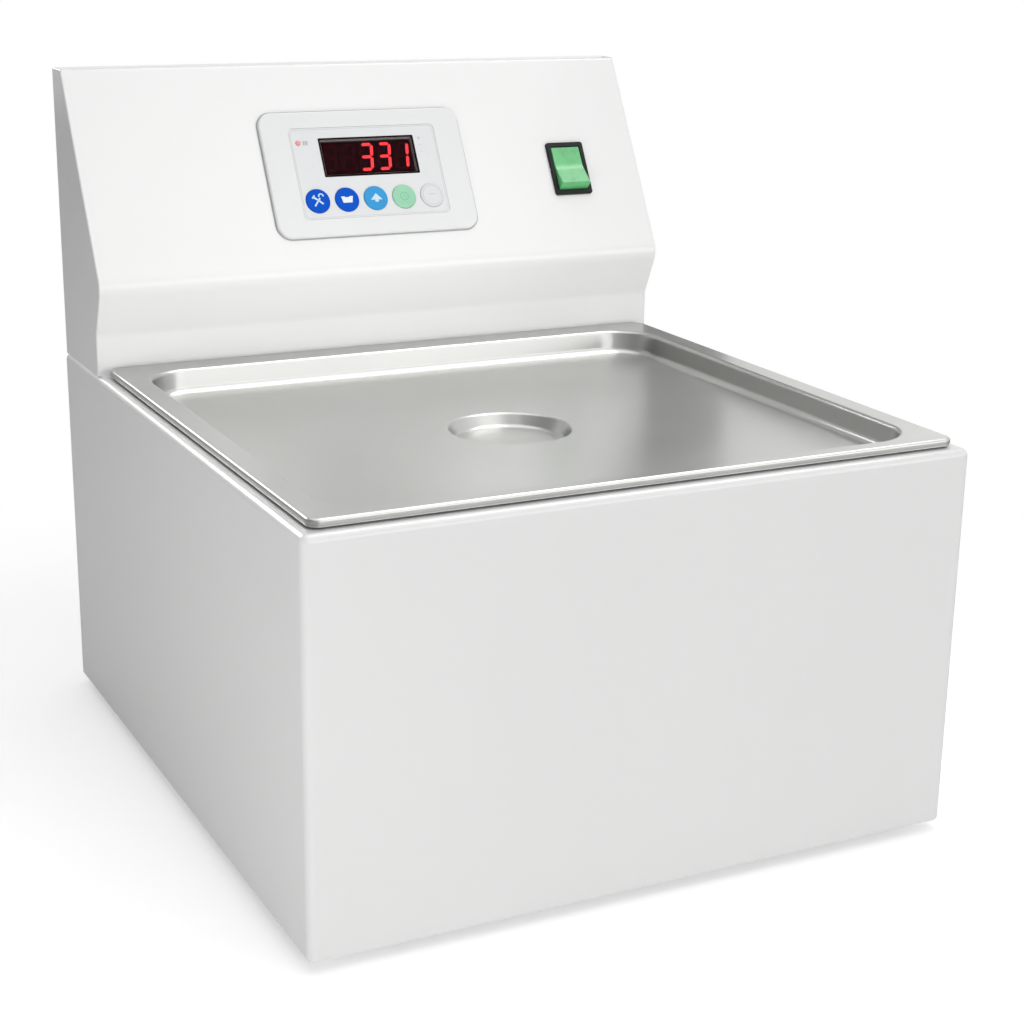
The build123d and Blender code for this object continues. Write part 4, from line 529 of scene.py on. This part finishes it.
def printed(name, node, marks, material, thickness=KEY_PRINT, shift=(0, 0), sink=0.0):
    """Thin raised marks on a node's outer face. A mark is a filled outline, or a drawn line.

    Sizes are in millimetres, right and up from the middle of the node's face."""
    shape = bmesh.new()
    middle = face_of(node) + (PANEL[0] * shift[0] + PANEL[1] * shift[1] - OUT * sink) * MM

    def point(flat, lift):
        spot = middle + (PANEL[0] * flat[0] + PANEL[1] * flat[1] + OUT * lift) * MM
        return shape.verts.new(spot)

    def slab(outline):
        low = [point(flat, 0) for flat in outline]
        high = [point(flat, thickness) for flat in outline]
        shape.faces.new(high)
        shape.faces.new(low[::-1])
        for index in range(len(outline)):
            after = (index + 1) % len(outline)
            shape.faces.new((low[index], low[after], high[after], high[index]))

    def ribbon(points, width, closed):
        sides = line_sides(points, width, closed)
        rims = [[point(flat, lift) for flat in pair] for pair in sides for lift in (0, thickness)]
        low, high = rims[0::2], rims[1::2]
        for index in range(len(sides) if closed else len(sides) - 1):
            after = (index + 1) % len(sides)
            a, b, c, d = low[index], low[after], high[index], high[after]
            shape.faces.new((c[1], d[1], d[0], c[0]))
            shape.faces.new((a[0], b[0], b[1], a[1]))
            shape.faces.new((a[1], b[1], d[1], c[1]))
            shape.faces.new((b[0], a[0], c[0], d[0]))
        if not closed:
            shape.faces.new((low[0][0], low[0][1], high[0][1], high[0][0]))
            shape.faces.new((low[-1][1], low[-1][0], high[-1][0], high[-1][1]))

    for mark in marks:
        if "fill" in mark:
            slab(mark["fill"])
        else:
            ribbon(mark["line"], mark["width"], mark.get("closed", False))
    bmesh.ops.recalc_face_normals(shape, faces=shape.faces)
    mesh = bpy.data.meshes.new(name)
    shape.to_mesh(mesh)
    shape.free()
    mesh.materials.append(material)
    obj = add_object(name, mesh)
    body = next(body for body, riders in behaviour["bodies"].items() if node in riders)
    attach(obj, body)
    return obj


# The sign on each key: crossed tools, a down sign, an up sign, a clock and a ring
TOOLS = [
    {"line": [(-2.6, -3.4), (-0.4, -0.5), (1.4, 1.6)], "width": 1.0},
    {"line": arc_points(1.4, -10, 200, centre=(2.2, 2.8))[::-1], "width": 0.8},
    {"line": [(-2.8, 2.4), (0.4, 0.0), (2.9, -2.2)], "width": 1.1},
    {"line": [(-3.5, 1.5), (-1.9, 3.5)], "width": 1.0},
]
DOWN = [{"fill": [(-3.8, 1.9), (-1.6, 1.9), (-1.3, 1.3), (1.3, 1.3), (1.6, 1.9), (3.8, 1.9),
                  (2.9, -2.2), (-2.9, -2.2)]}]
UP = [{"fill": [(-3.6, -1.2), (0.2, 2.9), (4.0, -1.2), (1.3, -1.2), (1.3, -2.6), (-0.9, -2.6),
                (-0.9, -1.2)]}]
CLOCK = [
    {"line": circle_points(2.5), "width": 0.6, "closed": True},
    {"line": [(0, 1.6), (0, 0), (1.2, -0.7)], "width": 0.55},
]
RING = [
    {"line": circle_points(6.2, steps=48), "width": 0.55, "closed": True},
    {"line": [(-1.8, 0.6), (0.4, 0.6)], "width": 0.9},
    {"line": [(0.9, 0.6), (1.9, 0.6)], "width": 0.9},
]
KEY_SIGNS = {
    "set_key": (TOOLS, "print_pale", "frame_white"),
    "down_key": (DOWN, "print_white", "frame_white"),
    "up_key": (UP, "print_pale", "frame_white"),
    "timer_key": (CLOCK, "print_green", "key_green"),
    "stop_key": (RING, "print_grey", "key_grey"),
}

# Three short waves beside the lamp, and a dot over two dashes beside the window
LAMP_WAVES = [{"line": [(x, 1.3), (x + 0.5, 0.3), (x - 0.1, -0.5), (x + 0.4, -1.5)], "width": 0.45}
              for x in (3.2, 4.3, 5.4)]
WINDOW_SIGNS = [
    {"fill": circle_points(0.9, steps=16, centre=(0, -2.0))},
    {"line": [(-0.8, -6.6), (0.8, -6.6)], "width": 0.5},
    {"line": [(-0.8, -10.8), (0.8, -10.8)], "width": 0.35},
]


def key_signs(materials):
    for key, (marks, finish, slot) in KEY_SIGNS.items():
        printed(key + "_sign", key, marks, materials[finish])


def film_print(materials):
    """The line round the printed film, and the small signs beside its lamp and its window."""
    width, height, _ = panel_size("controller_overlay")
    inset = 2 * FILM_LINE_INSET
    outline = rounded_outline(width - inset, height - inset, FILM_LINE_CORNER)
    printed("film_border", "controller_overlay",
            [{"line": outline, "width": FILM_LINE, "closed": True}],
            materials["print_grey"], thickness=FILM_PRINT)
    middle = face_of("controller_overlay")
    lamp = (face_of("status_lamp") - middle) / MM
    printed("lamp_sign", "controller_overlay", LAMP_WAVES, materials["print_dark"],
            thickness=FILM_PRINT, shift=(lamp.dot(PANEL[0]), lamp.dot(PANEL[1])))
    corner = [(reach("display_window", axis)[1] - middle.dot(axis)) / MM for axis in PANEL[:2]]
    printed("display_signs", "controller_overlay", WINDOW_SIGNS, materials["print_grey"],
            thickness=FILM_PRINT, shift=(corner[0] + SIGN_COLUMN_GAP, corner[1]))


def plate_seal_shadow_line(materials):
    """The seal under the controller's plate, which shows as a grey line round it. The grey is
    partly painted shadow, standing in for the plate's contact shadow.
    """
    width, height, thickness = panel_size("controller_frame")
    corner = PLATE_CORNER + SEAL_WIDTH / 2
    outline = rounded_outline(width + SEAL_WIDTH, height + SEAL_WIDTH, corner)
    printed("plate_seal_shadow_line", "controller_frame",
            [{"line": outline, "width": SEAL_WIDTH, "closed": True}],
            materials["plate_seal_shadow_line"], thickness=SEAL_THICKNESS, sink=thickness)


def bar_outline(start, end):
    """The six corners of one bar of a digit, from the middles of its two ends."""
    start, end = Vector(start), Vector(end)
    along = (end - start).normalized()
    across = Vector((-along.y, along.x)) * DIGIT_BAR / 2
    tips = start + along * DIGIT_GAP, end - along * DIGIT_GAP
    shoulders = tips[0] + along * DIGIT_BAR / 2, tips[1] - along * DIGIT_BAR / 2
    return [tips[0], shoulders[0] + across, shoulders[1] + across,
            tips[1], shoulders[1] - across, shoulders[0] - across]


def digit_marks(lit):
    """The bars of every digit that are lit, or those that are not."""
    side, top = (DIGIT_WIDTH - DIGIT_BAR) / 2, (DIGIT_HEIGHT - DIGIT_BAR) / 2
    bars = {
        "a": ((-side, top), (side, top)),
        "g": ((-side, 0), (side, 0)),
        "d": ((-side, -top), (side, -top)),
        "b": ((side, top), (side, 0)),
        "c": ((side, 0), (side, -top)),
        "e": ((-side, 0), (-side, -top)),
        "f": ((-side, top), (-side, 0)),
    }
    marks = []
    for digit, shown in enumerate(DIGITS_SHOWN):
        centre = (digit - (len(DIGITS_SHOWN) - 1) / 2) * DIGIT_PITCH + DIGIT_SHIFT
        for letter, ends in bars.items():
            if (letter in shown) == lit:
                outline = bar_outline(*ends)
                marks.append({"fill": [(centre + x + y * DIGIT_LEAN, y) for x, y in outline]})
    return marks


def display_digits(materials):
    """The digits behind the red window, in place of the two nodes with plainer bars."""
    for name, lit, finish, node in (("lit_digits", True, "segment_lit", "lit_segments"),
                                    ("unlit_digits", False, "segment_dark", "dark_segments")):
        bars = printed(name, "display_module", digit_marks(lit), materials[finish],
                       thickness=DIGIT_THICKNESS)
        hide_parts(node)


def window_lining(materials):
    """A black edge round the window, from its face up to that of the film."""
    width, height, _ = panel_size("display_window")
    depth = (reach("controller_overlay", OUT)[1] - reach("display_window", OUT)[1]) / MM
    border = 2 * LINING_GAP - LINING_WIDTH
    outline = rounded_outline(width + border, height + border, LINING_CORNER)
    printed("window_lining", "display_window",
            [{"line": outline, "width": LINING_WIDTH, "closed": True}],
            materials["module_black"], thickness=depth + LINING_RISE)


photo_camera()
room()
pale_floor()
for lamp_name, lamp in LAMPS.items():
    area_light(lamp_name, **lamp)
dark_flag()
materials = make_materials()
dress_nodes(materials)
key_signs(materials)
film_print(materials)
plate_seal_shadow_line(materials)
display_digits(materials)
window_lining(materials)
bpy.context.scene.view_settings.view_transform = "Standard"
